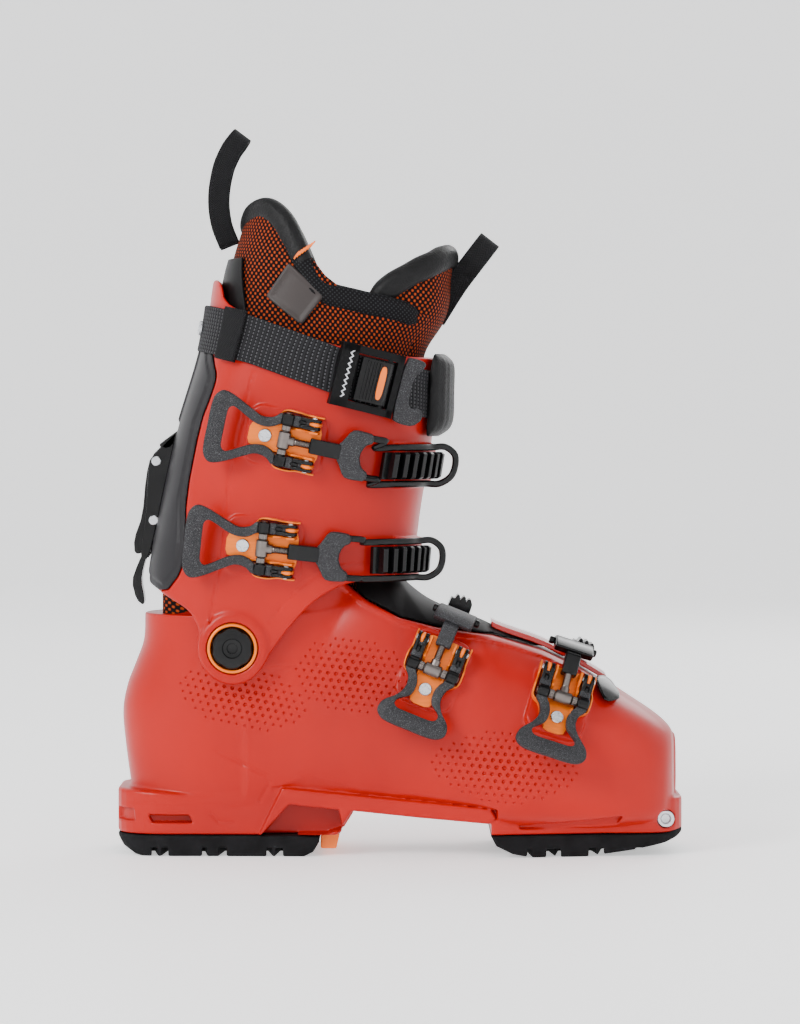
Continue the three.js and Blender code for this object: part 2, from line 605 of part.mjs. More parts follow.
const STRAP_RIVET = { x: -5, z: 286, radius: 4 };

function strapFrame(group) {
  const inside = wrapLocal(group, STRAP_TOP + GAP);
  const ring = plate(outline([[-19, -17], [16, -17], [16, 17], [-19, 17]]), 3, 8.5);
  const window = plate(outline([[-9, -12.6], [12.4, -12.6], [12.4, 12.6], [-9, 12.6]]), 0, 12);
  const pin = sideRod(CAM.pin, 14.6, CAM.hinge, CAM.height);
  const ears = sideSlab([[5, 4], [12, 4], [11.5, 10], [6, 10]], -15, 15);
  return ring.add(ears).subtract(window).add(pin).subtract(inside);
}

// The strap's outer surface, seen from a group that stands on the cuff.
function wrapLocal(group, offset) {
  const levels = CUFF_LEVELS.filter((z) => z >= 200 && z <= 330);
  return loft(levels.map((z) => ringOf(TUBE_SIDES, (a) => group.worldToLocal(tubePoint(CUFF, z, a, offset)))));
}

const CAM = { hinge: 8.6, height: 7.2, pin: 1.2, knuckle: 2.9, half: 11.8 };

function strapCam() {
  const side = [[-7, 5.6], [CAM.hinge, 5.2], [CAM.hinge, 9.8], [-7, 10.2]];
  const body = sideSlab(side, -CAM.half, CAM.half).add(sideRod(CAM.knuckle, CAM.half, CAM.hinge, CAM.height, 12));
  return body.subtract(sideRod(CAM.pin + GAP, CAM.half + 1, CAM.hinge, CAM.height));
}

const strapHook = (group) =>
  plate(outline([[16.4, -16], [31, -12], [34, 10], [28, 17], [16.4, 17]]), 3.5, 8).subtract(wrapLocal(group, STRAP_TOP + 3 * GAP));

// A rod along Y, with its middle on the XZ plane.
const sideRod = (radius, half, x, z, sides = 8) => crossRod(radius, -half, half, x, z, sides);

// ---- Buckles ----
// Each buckle has its own frame: X runs to the catch, Z out of the boot, and the middle of its base is the origin.
const BUCKLE = {
  screw: -12, pin: -1.5, hinge: 12.5, hingeHeight: 6.6, pinHeight: 6.2, wall: 7.5, armIn: 8.2, armOut: 14.2,
  earIn: 10.6, earOut: 12.2, stud: 1.4, pinRadius: 1.7, skin: 1.4, floor: 0.6,
};

function buckleBase() {
  const b = BUCKLE;
  const floorTop = b.floor + b.skin;
  const floor = plate(outline([[-20, -5], [-16, -7], [7, -7], [7, -b.earOut], [17, -b.earOut], [17, b.earOut], [7, b.earOut],
    [7, 7], [-16, 7], [-20, 5]]), b.floor, floorTop);
  const sides = [-1, 1].map((side) => {
    const wall = sideSlab([[2, b.floor], [17, b.floor], [15, 8.4], [4, 7]], ...pair(side * (b.wall - b.skin), side * b.wall));
    const ear = sideSlab([[8.5, b.floor], [16.5, b.floor], [14.6, 8.6], [10.4, 8.6]], ...pair(side * b.earIn, side * b.earOut));
    const stud = crossRod(b.stud, ...pair(side * (b.wall - b.skin), side * (b.armOut + 0.6)), b.hinge, b.hingeHeight, 6);
    return union(wall, ear, stud);
  });
  return union(floor, ...sides).subtract(rod(2.1, 20, [b.screw, 0, 0], 8));
}

const buckleScrew = () => {
  const from = BUCKLE.floor + BUCKLE.skin + GAP;
  return rod(3.4, 1.4, [BUCKLE.screw, 0, from + 0.7], 12).add(rod(1.7, from, [BUCKLE.screw, 0, from / 2 + 0.5], 8));
};

function buckleLever({ loop, spread }) {
  const b = BUCKLE;
  const end = b.screw - loop;
  const outer = [[end, spread - 5], [end + 4, spread], [end + 10, spread - 0.5], [b.screw - 8, 11], [b.screw, 11.5],
    [b.pin - 6, b.armOut], [b.hinge, b.armOut]];
  const inner = [[end + 5, spread - 8], [end + 7.5, spread - 5.4], [end + 12, spread - 6], [b.screw - 7, 5.4], [b.screw + 4, 5.8],
    [b.pin - 5, b.armIn], [b.hinge + 9, b.armIn]];
  const whole = (points) => outline([...points, ...points.map(([x, y]) => [x, -y]).reverse()]);
  const body = plate(whole(outer), 4.6, 7.8).add(plate(outline([[b.pin - 5, -b.armOut], [b.hinge, -b.armOut],
    [b.hinge, b.armOut], [b.pin - 5, b.armOut]]), 3.4, 9.6));
  const knuckleBar = sideRod(3.4, b.armOut, b.hinge, b.hingeHeight, 10);
  const knuckle = sideRod(3.7, b.armOut - 1, b.pin, b.pinHeight, 10);
  const slots = [-1, 1].map((side) => {
    const [from, to] = pair(side * (b.earIn - GAP), side * (b.earOut + GAP));
    return box(20, to - from, 20, [b.hinge + 4.5, (from + to) / 2, 6]);
  });
  return body.add(knuckleBar).add(knuckle).subtract(plate(whole(inner), 0, 20)).subtract(union(...slots))
    .subtract(sideRod(b.stud + GAP, b.armOut + 2, b.hinge, b.hingeHeight))
    .subtract(sideRod(b.pinRadius + GAP, b.armOut - 2, b.pin, b.pinHeight));
}

const bucklePin = () => sideRod(BUCKLE.pinRadius, BUCKLE.armOut - 2 - GAP, BUCKLE.pin, BUCKLE.pinHeight);

function hookShank(length) {
  const b = BUCKLE;
  const barrel = sideRod(3.3, 4.6, b.pin, b.pinHeight);
  const shaft = new THREE.CylinderGeometry(2, 2, length, 10).rotateZ(Math.PI / 2);
  const made = barrel.add(solid(shaft.translate(b.pin + length / 2, 0, b.pinHeight)));
  return made.subtract(sideRod(b.pinRadius + GAP, 12, b.pin, b.pinHeight));
}

// A hook body that spreads into two wires, which run round the catch on the front of the cuff.
function wireHook(group, { z, half }) {
  const block = box(18, 7, 4.8, [21, 0, 6.2]);
  const body = plate(outline([[28, -3.5], [33, -12.4], [45, -12], [39, -5], [39, 5], [45, 12], [33, 12.4], [28, 3.5]]), 3.6, 8.2);
  const beside = CATCH_PAD + 4;
  const over = CATCH_PAD + CATCH_HEIGHT + WIRE_RADIUS + GAP;
  const reach = half + WIRE_RADIUS + 1;
  const round = (z, a, lift) => group.worldToLocal(tubePoint(CUFF, z, a, lift));
  const side = (sign) => [
    new THREE.Vector3(40, sign * 10.8, 6), new THREE.Vector3(52, sign * 10.4, 5),
    ...[-1.15, -0.8, -0.5].map((a) => round(z + sign * reach, a, beside)),
    round(z + sign * reach, -0.38, (beside + over) / 2 + 1),
  ];
  const wire = roundWire([...side(1), round(z, -0.33, over + 3.2), ...side(-1).reverse()], WIRE_RADIUS, 26);
  return union(hookShank(16), block, body, wire);
}

// A hook body that bends over the instep and ends in a cross bar.
function barHook({ reach, drop }) {
  const block = sideSlab([[12, 3.6], [12, 8.6], [24, 9], [reach, 9 - drop], [reach - 2, 4.5 - drop], [23, 4.4]], -4, 4);
  const wide = sideSlab([[27, 4.6 - drop * 0.12], [28, 8.2], [reach, 9 - drop], [reach + 1.5, 5.5 - drop], [reach - 2, 4 - drop]], -10.5, 10.5);
  return union(hookShank(16), block, wide);
}

function frontCatch({ z, half }) {
  const body = cuffTube(CATCH_HEIGHT + CATCH_PAD).subtract(cuffTube(CATCH_PAD + GAP)).intersect(level(z, half)).intersect(acrossFront(CATCH_SPAN.from, CATCH_SPAN.to));
  const notches = steps(-0.95, -0.42, 5).map((a) => {
    const at = tubePoint(CUFF, z, a, CATCH_HEIGHT + CATCH_PAD);
    const cut = new THREE.CylinderGeometry(1.7, 1.7, 60, 6).rotateX(Math.PI / 2);
    return solid(cut.translate(at.x, at.y, z));
  });
  return body.subtract(union(...notches));
}

function instepCatch({ x, y, z, slope }) {
  const teeth = [[-6, 0], [6, 0], [6, 6], [4.4, 8], [2.6, 5.6], [1, 8.4], [-0.8, 5.6], [-2.4, 8], [-4, 5.6], [-6, 6]];
  const bar = sideSlab(teeth, -9, 9);
  return bar.rotate([0, -slope, 0]).translate([x, y, z]);
}

const BUCKLES = {
  1: { surface: lateralFoot, at: [186.2, 86.2], slope: 74, loop: 26, spread: 20 },
  2: { surface: lateralFoot, at: [118, 102.1], slope: 67, loop: 25, spread: 20 },
  3: { surface: lateralCuff, at: [27.9, 168.3], slope: -6.4, loop: 31, spread: 18 },
  4: { surface: lateralCuff, at: [39.9, 226], slope: -12, loop: 31, spread: 18 },
};
const INSTEP_HOOKS = {
  1: { reach: 37, drop: 9 },
  2: { reach: 36, drop: 12 },
};
const INSTEP_CATCHES = {
  1: { x: 199, y: 1, z: instepTop(199) + FLAP.lift + FLAP.thick + 1.5, slope: -24 },
  2: { x: 132, y: 1, z: instepTop(132) + 1.4, slope: -20 },
};

// ---- Assembly ----
add("lower_shell", "red", lowerShell());
add("boot_board", "foam", bootBoard());
add("heel_sole", "rubber", heelSole());
add("toe_sole", "rubber", toeSole());
add("sole_spacer", "orange", soleSpacer());
add("heel_sole_screw", "steel", soleScrew(HEEL_SCREW_X));
add("toe_sole_screw", "steel", soleScrew(TOE_SCREW_X));
add("toe_insert_left", "steel", toeInsert(1));
add("toe_insert_right", "steel", toeInsert(-1));
add("heel_insert", "steel", heelInsert());
add("instep_gasket", "dark", instepGasket());
add("overlap_strip", "gloss", overlapStrip());
add("strip_clip", "black", stripClip());
add("liner_foot", "foam", linerFoot());
add("cuff", "red", cuff());
add("cuff_spine", "dark", cuffSpine());
add("spoiler", "black", spoiler());
add("pivot_knob", "black", pivotKnob(-1, PIVOT_PROUD));
add("pivot_ring", "orange", pivotRing(-1));
add("pivot_bolt_medial", "steel", pivotKnob(1, 1));
add("liner_shaft", "mesh", linerShaft());
add("liner_tongue", "mesh", linerTongue());
add("rear_pull_loop", "webbing", pullLoop([[6.5, 330], [2, 344], [0.5, 358], [3, 374], [8, 385], [13, 392.5]], 11, 9, 2.2));
add("front_pull_loop", "webbing", pullLoop([[119, 292], [131, 311], [141, 325], [150, 335]], 13, 9, 2.2));
add("power_strap", "webbing", powerStrap());
add("strap_keeper", "webbing", strapKeeper());
add("strap_pad", "webbing", strapPad());

const rivetGroup = frameOn(lateralCuff, STRAP_RIVET.x, STRAP_RIVET.z, 0);
add("strap_rivet", "steel", rod(STRAP_RIVET.radius, 2, [0, 0, STRAP_TOP + GAP + 1], 16).subtract(wrapLocal(rivetGroup, STRAP_TOP + GAP)), rivetGroup);
const strapGroup = frameOn(lateralCuff, 82, 258, -14);
add("strap_frame", "dark", strapFrame(strapGroup), strapGroup);
add("strap_cam", "black", strapCam(), strapGroup);
add("strap_hook", "lever", strapHook(strapGroup), strapGroup);

add("walk_housing", "black", walkHousing());
add("walk_lever", "black", walkLever());
add("walk_hook", "black", walkHook());
add("walk_lever_pin", "steel", walkPin(WALK.pivot));
add("walk_hook_pin", "steel", walkPin(WALK.hook));

for (const [number, spec] of Object.entries(BUCKLES)) {
  const group = frameOn(spec.surface, ...spec.at, spec.slope);
  const isInstep = number in INSTEP_HOOKS;
  const hook = isInstep ? barHook(INSTEP_HOOKS[number]) : wireHook(group, CATCHES[number]);
  const latch = isInstep ? instepCatch(INSTEP_CATCHES[number]) : frontCatch(CATCHES[number]);
  add(`base_${number}`, "orange", buckleBase(), group);
  add(`screw_${number}`, "steel", buckleScrew(), group);
  add(`lever_${number}`, "lever", buckleLever(spec), group);
  add(`lever_pin_${number}`, "steel", bucklePin(), group);
  add(`hook_${number}`, "lever", hook, group);
  add(`catch_${number}`, "black", latch);
}

// The origin is on the ground, under the middle of the boot's box.
const bounds = new THREE.Box3().setFromObject(boot);
const middle = bounds.getCenter(new THREE.Vector3());
boot.position.set(-middle.x, -middle.y, -bounds.min.z);

export default boot;
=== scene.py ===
import json
import math

import bmesh
import bpy
import numpy as np
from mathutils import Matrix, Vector


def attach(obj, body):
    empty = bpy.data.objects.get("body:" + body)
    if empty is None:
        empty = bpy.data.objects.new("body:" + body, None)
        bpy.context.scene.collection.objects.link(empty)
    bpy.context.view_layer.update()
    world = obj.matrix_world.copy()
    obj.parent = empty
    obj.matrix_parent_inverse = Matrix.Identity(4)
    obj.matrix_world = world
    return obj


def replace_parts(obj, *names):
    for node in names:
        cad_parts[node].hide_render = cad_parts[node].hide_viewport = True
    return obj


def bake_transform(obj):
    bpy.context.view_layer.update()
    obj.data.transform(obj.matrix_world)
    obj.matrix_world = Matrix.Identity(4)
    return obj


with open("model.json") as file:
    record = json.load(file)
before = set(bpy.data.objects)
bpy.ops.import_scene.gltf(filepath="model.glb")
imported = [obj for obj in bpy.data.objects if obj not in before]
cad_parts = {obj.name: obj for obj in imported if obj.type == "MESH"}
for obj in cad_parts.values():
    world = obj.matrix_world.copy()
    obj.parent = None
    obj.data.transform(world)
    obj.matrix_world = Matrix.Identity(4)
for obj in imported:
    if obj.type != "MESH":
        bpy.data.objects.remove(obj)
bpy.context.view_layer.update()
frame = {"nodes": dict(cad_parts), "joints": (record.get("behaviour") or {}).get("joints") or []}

JOINTS = {joint["name"]: joint for joint in frame["joints"]}

# Shapes are in millimetres from the ground under the heel, as in the CAD's source. The frame gives the
# ankle axis too, which ties the two together.
PIVOT = (10.0, 0.0, 114.0)
SHIFT = np.array(JOINTS["cuff_flex"]["pos_m"]) * 1000 - np.array(PIVOT)

# ---- The CAD's sections ----
# Foot: x, bottom, top, half width, squareness.
CLOG = np.array([
    [20, 26, 118, 38, 3], [60, 26, 148, 43, 3], [80, 25.5, 161, 45.5, 2.8], [94, 24.5, 159, 47, 2.7],
    [103, 23.5, 148, 48, 2.6], [120, 22, 135.5, 50, 2.5], [145, 19.5, 126, 54, 2.5],
                 [154, 14, 121.5, 55, 2.5],
    [180, 13.5, 112, 56.5, 2.5], [205, 13.5, 98.5, 55, 2.6], [225, 14, 85.5, 50, 2.7],
                 [240, 15, 75.5, 42, 2.8],
    [248, 20, 68.5, 30, 3], [250.6, 30, 64, 14, 3]])
# Level sections: z, rear, front, half width, squareness.
HEEL = np.array([
    [22, -46, 60, 33, 2.4], [36, -48, 64, 35.5, 2.4], [60, -51.2, 70, 38, 2.3], [78, -52.4, 74, 39.5, 2.3],
    [92, -49.8, 78, 40.5, 2.3], [105, -44.8, 80, 41.5, 2.3], [116, -41, 82, 42, 2.3],
                 [131, -40.2, 84, 42, 2.3]])
NECK = np.array([[108, -30, 80, 41.5, 2.5], [137, -25, 88, 40.5, 2.5], [166, -12, 86, 38, 2.5]])
CUFF = np.array([
    [86, -36, 100, 49.5, 3.1], [120, -37, 104, 50, 3.1], [150, -37.5, 107, 52.5, 3],
                 [185, -31.5, 111, 55, 2.7],
    [230, -21.5, 118, 58.5, 2.6], [270, -9.5, 120.5, 61, 2.5], [290, -5.5, 132, 61.5, 2.5],
    [316, -1.5, 137, 62, 2.5], [340, 5.5, 138, 61, 2.5], [364, 10, 140, 58, 2.5]])
WALL = 4.5 # thickness of the lower shell and the cuff
PIVOT_HOLE = 13.9 # radius of the cuff's ankle hole
LINER = 7.1 # from the cuff's outer surface in to the liner
FLOOR = 30 # top of the shell's bottom, inside
LEG = np.array([66, 0, 0]) # the middle of the leg, seen from above
STEP = 0.8 # of the grids that shells are carved in


def along(rows, at):
    """Rows of [position, value...] read smoothly at positions."""
    x, v = rows[:, 0], rows[:, 1:]
    n = len(x)
    before, after = np.maximum(np.arange(n) - 1, 0), np.minimum(np.arange(n) + 1, n - 1)
    slope = (v[after] - v[before]) / (x[after] - x[before])[:, None]
    at = np.atleast_1d(np.asarray(at, float))
    i = np.clip(np.searchsorted(x, at, side="left") - 1, 0, n - 2)
    span = (x[i + 1] - x[i])[:, None]
    t = np.clip((at - x[i])[:, None] / span, 0, 1)
    t2, t3 = t * t, t ** 3
    return ((2 * t3 - 3 * t2 + 1) * v[i] + (t3 - 2 * t2 + t) * slope[i] * span
            + (3 * t2 - 2 * t3) * v[i + 1] + (t3 - t2) * slope[i + 1] * span)


def bulge(value, square):
    return np.sign(value) * np.abs(value) ** (2 / square)


def toe_turn(x):
    t = np.clip((np.asarray(x, float) - 120) / 134.5, 0, 1)
    return 4 * t * t * (3 - 2 * t)


def tube_point(z, angle, offset=0.0, rows=CUFF):
    rear, front, half, square = along(rows, z)[0]
    x = (rear + front) / 2 + ((front - rear) / 2 + offset) * bulge(math.cos(angle), square)
    return np.array([x, (half + offset) * bulge(math.sin(angle), square), z])


def foot_point(x, angle, inset=0.0):
    bottom, top, half, square = along(CLOG, x)[0]
    waist = bottom + 0.4 * (top - bottom)
    upper = math.sin(angle) >= 0
    power = square if upper else 4
    rise = (top - waist if upper else waist - bottom) - inset
    y = float(toe_turn(x)) + (half - inset) * bulge(math.cos(angle), power)
    return np.array([x, y, waist + rise * bulge(math.sin(angle), power)])


def lateral_cuff(x, z, offset=0.0):
    """The point of the cuff's lateral side at x and z."""
    rear, front, _, square = along(CUFF, z)[0]
    share = (x - (rear + front) / 2) / ((front - rear) / 2)
    share = max(-1.0, min(1.0, share))
    return tube_point(z, -math.acos(math.copysign(abs(share) ** (square / 2), share)), offset)


def lateral_foot(x, z):
    """The point of the foot's lateral side at x and z."""
    bottom, top, _, square = along(CLOG, x)[0]
    waist = bottom + 0.4 * (top - bottom)
    return foot_point(x, math.pi - math.asin(((z - waist) / (top - waist)) ** (square / 2)))


def frame_on(surface, x, z, slope):
    """Axes on the surface: X at a slope seen from the side, Z out of the boot."""
    across = surface(x + 1, z) - surface(x - 1, z)
    upward = surface(x, z + 1) - surface(x, z - 1)
    out = np.cross(across, upward)
    out /= np.linalg.norm(out)
    angle = math.radians(slope)
    forward = across * math.cos(angle) + upward * math.sin(angle)
    forward /= np.linalg.norm(forward)
    matrix = np.eye(4)
    matrix[:3, 0], matrix[:3, 1], matrix[:3, 2], matrix[:3, 3] = forward, np.cross(out,
            forward), out, surface(x, z)
    return matrix


BUCKLES = {
    1: dict(at=frame_on(lateral_foot, 186.2, 86.2, 74), loop=26, spread=20, body="shell"),
    2: dict(at=frame_on(lateral_foot, 118, 102.1, 67), loop=25, spread=20, body="shell"),
    3: dict(at=frame_on(lateral_cuff, 27.9, 168.3, -6.4), loop=31, spread=20, body="cuff"),
    4: dict(at=frame_on(lateral_cuff, 39.9, 226, -12), loop=31, spread=20, body="cuff"),
}


# ---- Materials ----
def srgb(*color):
    """A linear colour from sRGB values of 0 to 255."""
    values = [c / 255 for c in color]
    return tuple(c / 12.92 if c <= 0.04045 else ((c + 0.055) / 1.055) ** 2.4 for c in values) + (1,)


class Paint:
    """A procedural material, built up a layer at a time."""

    def __init__(self, name, rough, metallic=0.0, coat=0.0, coat_rough=0.1, sheen=0.0, specular=0.5):
        self.material = bpy.data.materials.new(name)
        self.material.use_nodes = True
        self.tree = self.material.node_tree
        self.shader = self.tree.nodes["Principled BSDF"]
        for socket, value in (("Roughness", rough), ("Metallic", metallic), ("Coat Weight", coat),
                              ("Coat Roughness", coat_rough),
                              ("Sheen Weight", sheen), ("Specular IOR Level", specular)):
            self.shader.inputs[socket].default_value = value
        self.place = self.node("ShaderNodeTexCoord").outputs["Object"]
        self.normal = None

    def node(self, kind, **values):
        node = self.tree.nodes.new(kind)
        for key, value in values.items():
            if key in node.inputs:
                node.inputs[key].default_value = value
            else:
                setattr(node, key, value)
        return node

    def link(self, a, b):
        self.tree.links.new(a, b)

    def stretched(self, scale):
        node = self.node("ShaderNodeMapping")
        node.inputs["Scale"].default_value = scale
        self.link(self.place, node.inputs["Vector"])
        return node.outputs["Vector"]

    def noise(self, scale, detail=3.0, stretch=None):
        node = self.node("ShaderNodeTexNoise", Scale=scale, Detail=detail)
        self.link(self.stretched(stretch) if stretch else self.place, node.inputs["Vector"])
        return node.outputs["Fac"]

    def cells(self, scale, feature="F1", stretch=None):
        node = self.node("ShaderNodeTexVoronoi", Scale=scale, feature=feature)
        self.link(self.stretched(stretch) if stretch else self.place, node.inputs["Vector"])
        return node.outputs["Distance"]

    def waves(self, scale, direction="X", distortion=0.0):
        node = self.node("ShaderNodeTexWave", Scale=scale, Distortion=distortion, bands_direction=direction)
        self.link(self.place, node.inputs["Vector"])
        return node.outputs["Fac"]

    def attribute(self, name):
        return self.node("ShaderNodeAttribute", attribute_name=name).outputs["Fac"]

    def math(self, operation, a, b=0.0):
        node = self.node("ShaderNodeMath", operation=operation)
        for socket, value in zip(node.inputs, (a, b)):
            if isinstance(value, (int, float)):
                socket.default_value = value
            else:
                self.link(value, socket)
        return node.outputs[0]

    def ramp(self, fac, stops):
        node = self.node("ShaderNodeValToRGB")
        elements = node.color_ramp.elements
        while len(elements) < len(stops):
            elements.new(0.5)
        for element, (at, color) in zip(elements, stops):
            element.position, element.color = at, color
        self.link(fac, node.inputs["Fac"])
        return node.outputs["Color"]

    def color(self, fac, stops):
        self.link(self.ramp(fac, stops), self.shader.inputs["Base Color"])
        return self

    def rough(self, fac, low, high):
        node = self.node("ShaderNodeMapRange")
        node.inputs["To Min"].default_value, node.inputs["To Max"].default_value = low, high
        self.link(fac, node.inputs["Value"])
        self.link(node.outputs["Result"], self.shader.inputs["Roughness"])
        return self

    def bump(self, height, distance, strength=1.0):
        node = self.node("ShaderNodeBump", Distance=distance, Strength=strength)
        self.link(height, node.inputs["Height"])
        if self.normal:
            self.link(self.normal, node.inputs["Normal"])
        self.normal = node.outputs["Normal"]
        self.link(self.normal, self.shader.inputs["Normal"])
        return self


def plastic(name, base, rough, grain=0.00003, coat=0.0, spread=0.12, specular=0.4):
    paint = Paint(name, rough, coat=coat, coat_rough=0.15, specular=specular)
    dark = tuple(c * (1 - spread) for c in base[:3]) + (1,)
    light = tuple(min(1, c * (1 + spread)) for c in base[:3]) + (1,)
    paint.color(paint.noise(14, 4), [(0.3, dark), (0.7, light)])
    paint.rough(paint.noise(60, 5), rough - 0.06, rough + 0.08)
    return paint.bump(paint.noise(2600, 2), grain, 0.35).material


RED = plastic("red_shell", srgb(166, 10, 1), 0.34, coat=0.06, specular=0.22)
RED_GLOSS = plastic("red_gloss", srgb(160, 6, 1), 0.16, grain=0.00001, coat=0.3)
SPINE = plastic("dark_spine", srgb(34, 33, 35), 0.4, specular=0.15)
BLACK = plastic("black_gloss", srgb(8, 8, 9), 0.2, coat=0.1, specular=0.2)
BLACK_SOFT = plastic("black_satin", srgb(12, 12, 13), 0.42, specular=0.12)
GASKET = plastic("soft_gasket", srgb(12, 11, 12), 0.55, grain=0.00008, specular=0.1)
ORANGE = plastic("orange_plastic", srgb(240, 110, 6), 0.36)
BOARD = plastic("board_foam", srgb(70, 70, 72), 0.9, grain=0.0002)


def metal(name, base, rough, brushed=(60, 900, 900)):
    paint = Paint(name, rough, metallic=1.0)
    streaks = paint.noise(1, 3, stretch=brushed)
    paint.color(streaks, [(0.25, tuple(c * 0.82 for c in base[:3]) + (1,)), (0.75, base)])
    paint.rough(streaks, rough - 0.06, rough + 0.12)
    return paint.bump(streaks, 0.00001, 0.3).material


STEEL = metal("bright_steel", srgb(214, 216, 220), 0.24)
DARK_STEEL = metal("dark_steel", srgb(120, 112, 108), 0.3)
ANODISED = metal("orange_anodised", srgb(244, 116, 8), 0.34)
ANODISED.node_tree.nodes["Principled BSDF"].inputs["Metallic"].default_value = 0.45


def speckled():
    paint = Paint("charcoal_lever", 0.5, specular=0.2)
    fine = paint.noise(2400, 2)
    paint.color(fine, [(0.3, srgb(22, 22, 24)), (0.56, srgb(42, 42, 44)), (0.72, srgb(90, 90, 94))])
    paint.rough(paint.noise(500, 3), 0.42, 0.62)
    return paint.bump(fine, 0.00006, 0.6).material


LEVER = speckled()


def rubber():
    paint = Paint("sole_rubber", 0.75, specular=0.12)
    paint.color(paint.noise(90, 5), [(0.3, srgb(10, 10, 11)), (0.7, srgb(22, 22, 24))])
    paint.rough(paint.noise(300, 4), 0.62, 0.86)
    return paint.bump(paint.noise(1800, 4), 0.0001, 0.6).material


RUBBER = rubber()


def mesh_fabric(name, thread, ground, wide, tall):
    """Open knit: staggered oval holes, with the lining's colour showing through."""
    paint = Paint(name, 0.85, specular=0.12)
    u = paint.math("COSINE", paint.math("MULTIPLY", paint.attribute("along"), 2 * math.pi / wide))
    v = paint.math("COSINE", paint.math("MULTIPLY", paint.attribute("across"), 2 * math.pi / tall))
    holes = paint.math("ADD", paint.math("MULTIPLY", paint.math("MULTIPLY", u, v), 0.5), 0.5)
    paint.color(holes, [(0.56, thread), (0.72, ground),
                        (1.0, tuple(min(1, c * 1.7) for c in ground[:3]) + (1,))])
    paint.bump(holes, 0.0006, -0.8)
    return paint.bump(paint.noise(1500, 3), 0.0001, 0.5).material


MESH = mesh_fabric("liner_mesh", srgb(8, 6, 6), srgb(126, 44, 10), 2.9, 3.6)
KNIT = mesh_fabric("collar_knit", srgb(12, 12, 13), srgb(30, 30, 32), 2.4, 2.4)


def leather():
    paint = Paint("black_leatherette", 0.44, specular=0.18)
    grain = paint.cells(900)
    paint.color(paint.noise(120, 4), [(0.3, srgb(9, 9, 10)), (0.7, srgb(18, 18, 19))])
    paint.rough(grain, 0.4, 0.6)
    paint.bump(grain, 0.00022, 0.6)
    return paint.bump(paint.noise(260, 4), 0.0004, 0.4).material


LEATHER = leather()


def webbing():
    """Herringbone webbing: the weave runs by the ribbon's own length and width."""
    paint = Paint("black_webbing", 0.75, specular=0.15)
    u, v = paint.attribute("along"), paint.attribute("across")
    zig = paint.math("PINGPONG", v, 2.2)
    weave = paint.math("PINGPONG", paint.math("ADD", u, zig), 0.62)
    weave = paint.math("MULTIPLY", weave, 1.6)
    paint.color(weave, [(0.1, srgb(6, 6, 7)), (0.9, srgb(30, 30, 32))])
    paint.bump(weave, 0.0004, 0.8)
    return paint.bump(paint.noise(2200, 2), 0.0001, 0.4).material


WEBBING = webbing()


def strap_fabric():
    """Ribbed strap: ribs across it, and rows of pale stitches down it at each seam."""
    paint = Paint("ribbed_strap", 0.7, specular=0.15)
    u, v = paint.attribute("along"), paint.attribute("across")
    ribs = paint.math("PINGPONG", u, 1.35)
    seam = paint.math("LESS_THAN", ribs, 0.36)
    dash = paint.math("GREATER_THAN", paint.math("PINGPONG", v, 1.0), 0.42)
    stitch = paint.math("MULTIPLY", seam, dash)
    base = paint.ramp(ribs, [(0.2, srgb(6, 6, 7)), (1.0, srgb(28, 28, 30))])
    mix = paint.node("ShaderNodeMix", data_type="RGBA")
    paint.link(stitch, mix.inputs[0])
    paint.link(base, mix.inputs[6])
    mix.inputs[7].default_value = srgb(70, 70, 73)
    paint.link(mix.outputs[2], paint.shader.inputs["Base Color"])
    paint.bump(ribs, 0.0005, 0.7)
    paint.bump(stitch, 0.0005, 0.6)
    return paint.bump(paint.noise(1800, 2), 0.0001, 0.4).material


STRAP = strap_fabric()


# ---- Mesh building ----
EDGE = 34 # degrees between two faces, past which an edge is bevelled


def build(name, points, faces, material, body, slot, matrix=None, smooth=True, bevel=0.0, subdivide=0,
          auto=None):
    """A piece from points in millimetres, in the CAD's space or in a matrix's."""
    points = np.asarray(points, float)
    if matrix is not None:
        points = points @ matrix[:3, :3].T + matrix[:3, 3]
    points = (points + SHIFT) / 1000
    mesh = bpy.data.meshes.new(name)
    if isinstance(faces, np.ndarray):
        count, corners = faces.shape
        mesh.vertices.add(len(points))
        mesh.vertices.foreach_set("co", points.astype(np.float32).ravel())
        mesh.loops.add(count * corners)
        mesh.loops.foreach_set("vertex_index", faces.astype(np.int32).ravel())
        mesh.polygons.add(count)
        mesh.polygons.foreach_set("loop_start", np.arange(0, count * corners, corners, dtype=np.int32))
        mesh.update(calc_edges=True)
        mesh.validate()
    else:
        mesh.from_pydata(points.tolist(), [], faces)
        work = bmesh.new()
        work.from_mesh(mesh)
        bmesh.ops.remove_doubles(work, verts=work.verts, dist=1e-6)
        bmesh.ops.recalc_face_normals(work, faces=work.faces)
        work.to_mesh(mesh)
        work.free()
    obj = bpy.data.objects.new(name, mesh)
    bpy.context.scene.collection.objects.link(obj)
    mesh.polygons.foreach_set("use_smooth", [smooth] * len(mesh.polygons))
    mesh.materials.append(material)
    if bevel:
        tool = obj.modifiers.new("edges", "BEVEL")
        tool.width, tool.segments, tool.limit_method = bevel / 1000, 2, "ANGLE"
        tool.angle_limit = math.radians(EDGE)
        tool.harden_normals = True
        mesh.set_sharp_from_angle(angle=math.radians(EDGE))
    if subdivide:
        tool = obj.modifiers.new("rounder", "SUBSURF")
        tool.levels = tool.render_levels = subdivide
    if auto:
        mesh.set_sharp_from_angle(angle=math.radians(auto))
    if body:
        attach(obj, body)
    return obj


def spline(points, count):
    """Catmull-Rom through points, at even shares of their length."""
    p = np.asarray(points, float)
    length = np.concatenate([[0], np.cumsum(np.linalg.norm(np.diff(p, axis=0), axis=1))])
    rows = np.column_stack([length, p])
    return along(rows, np.linspace(0, length[-1], count))


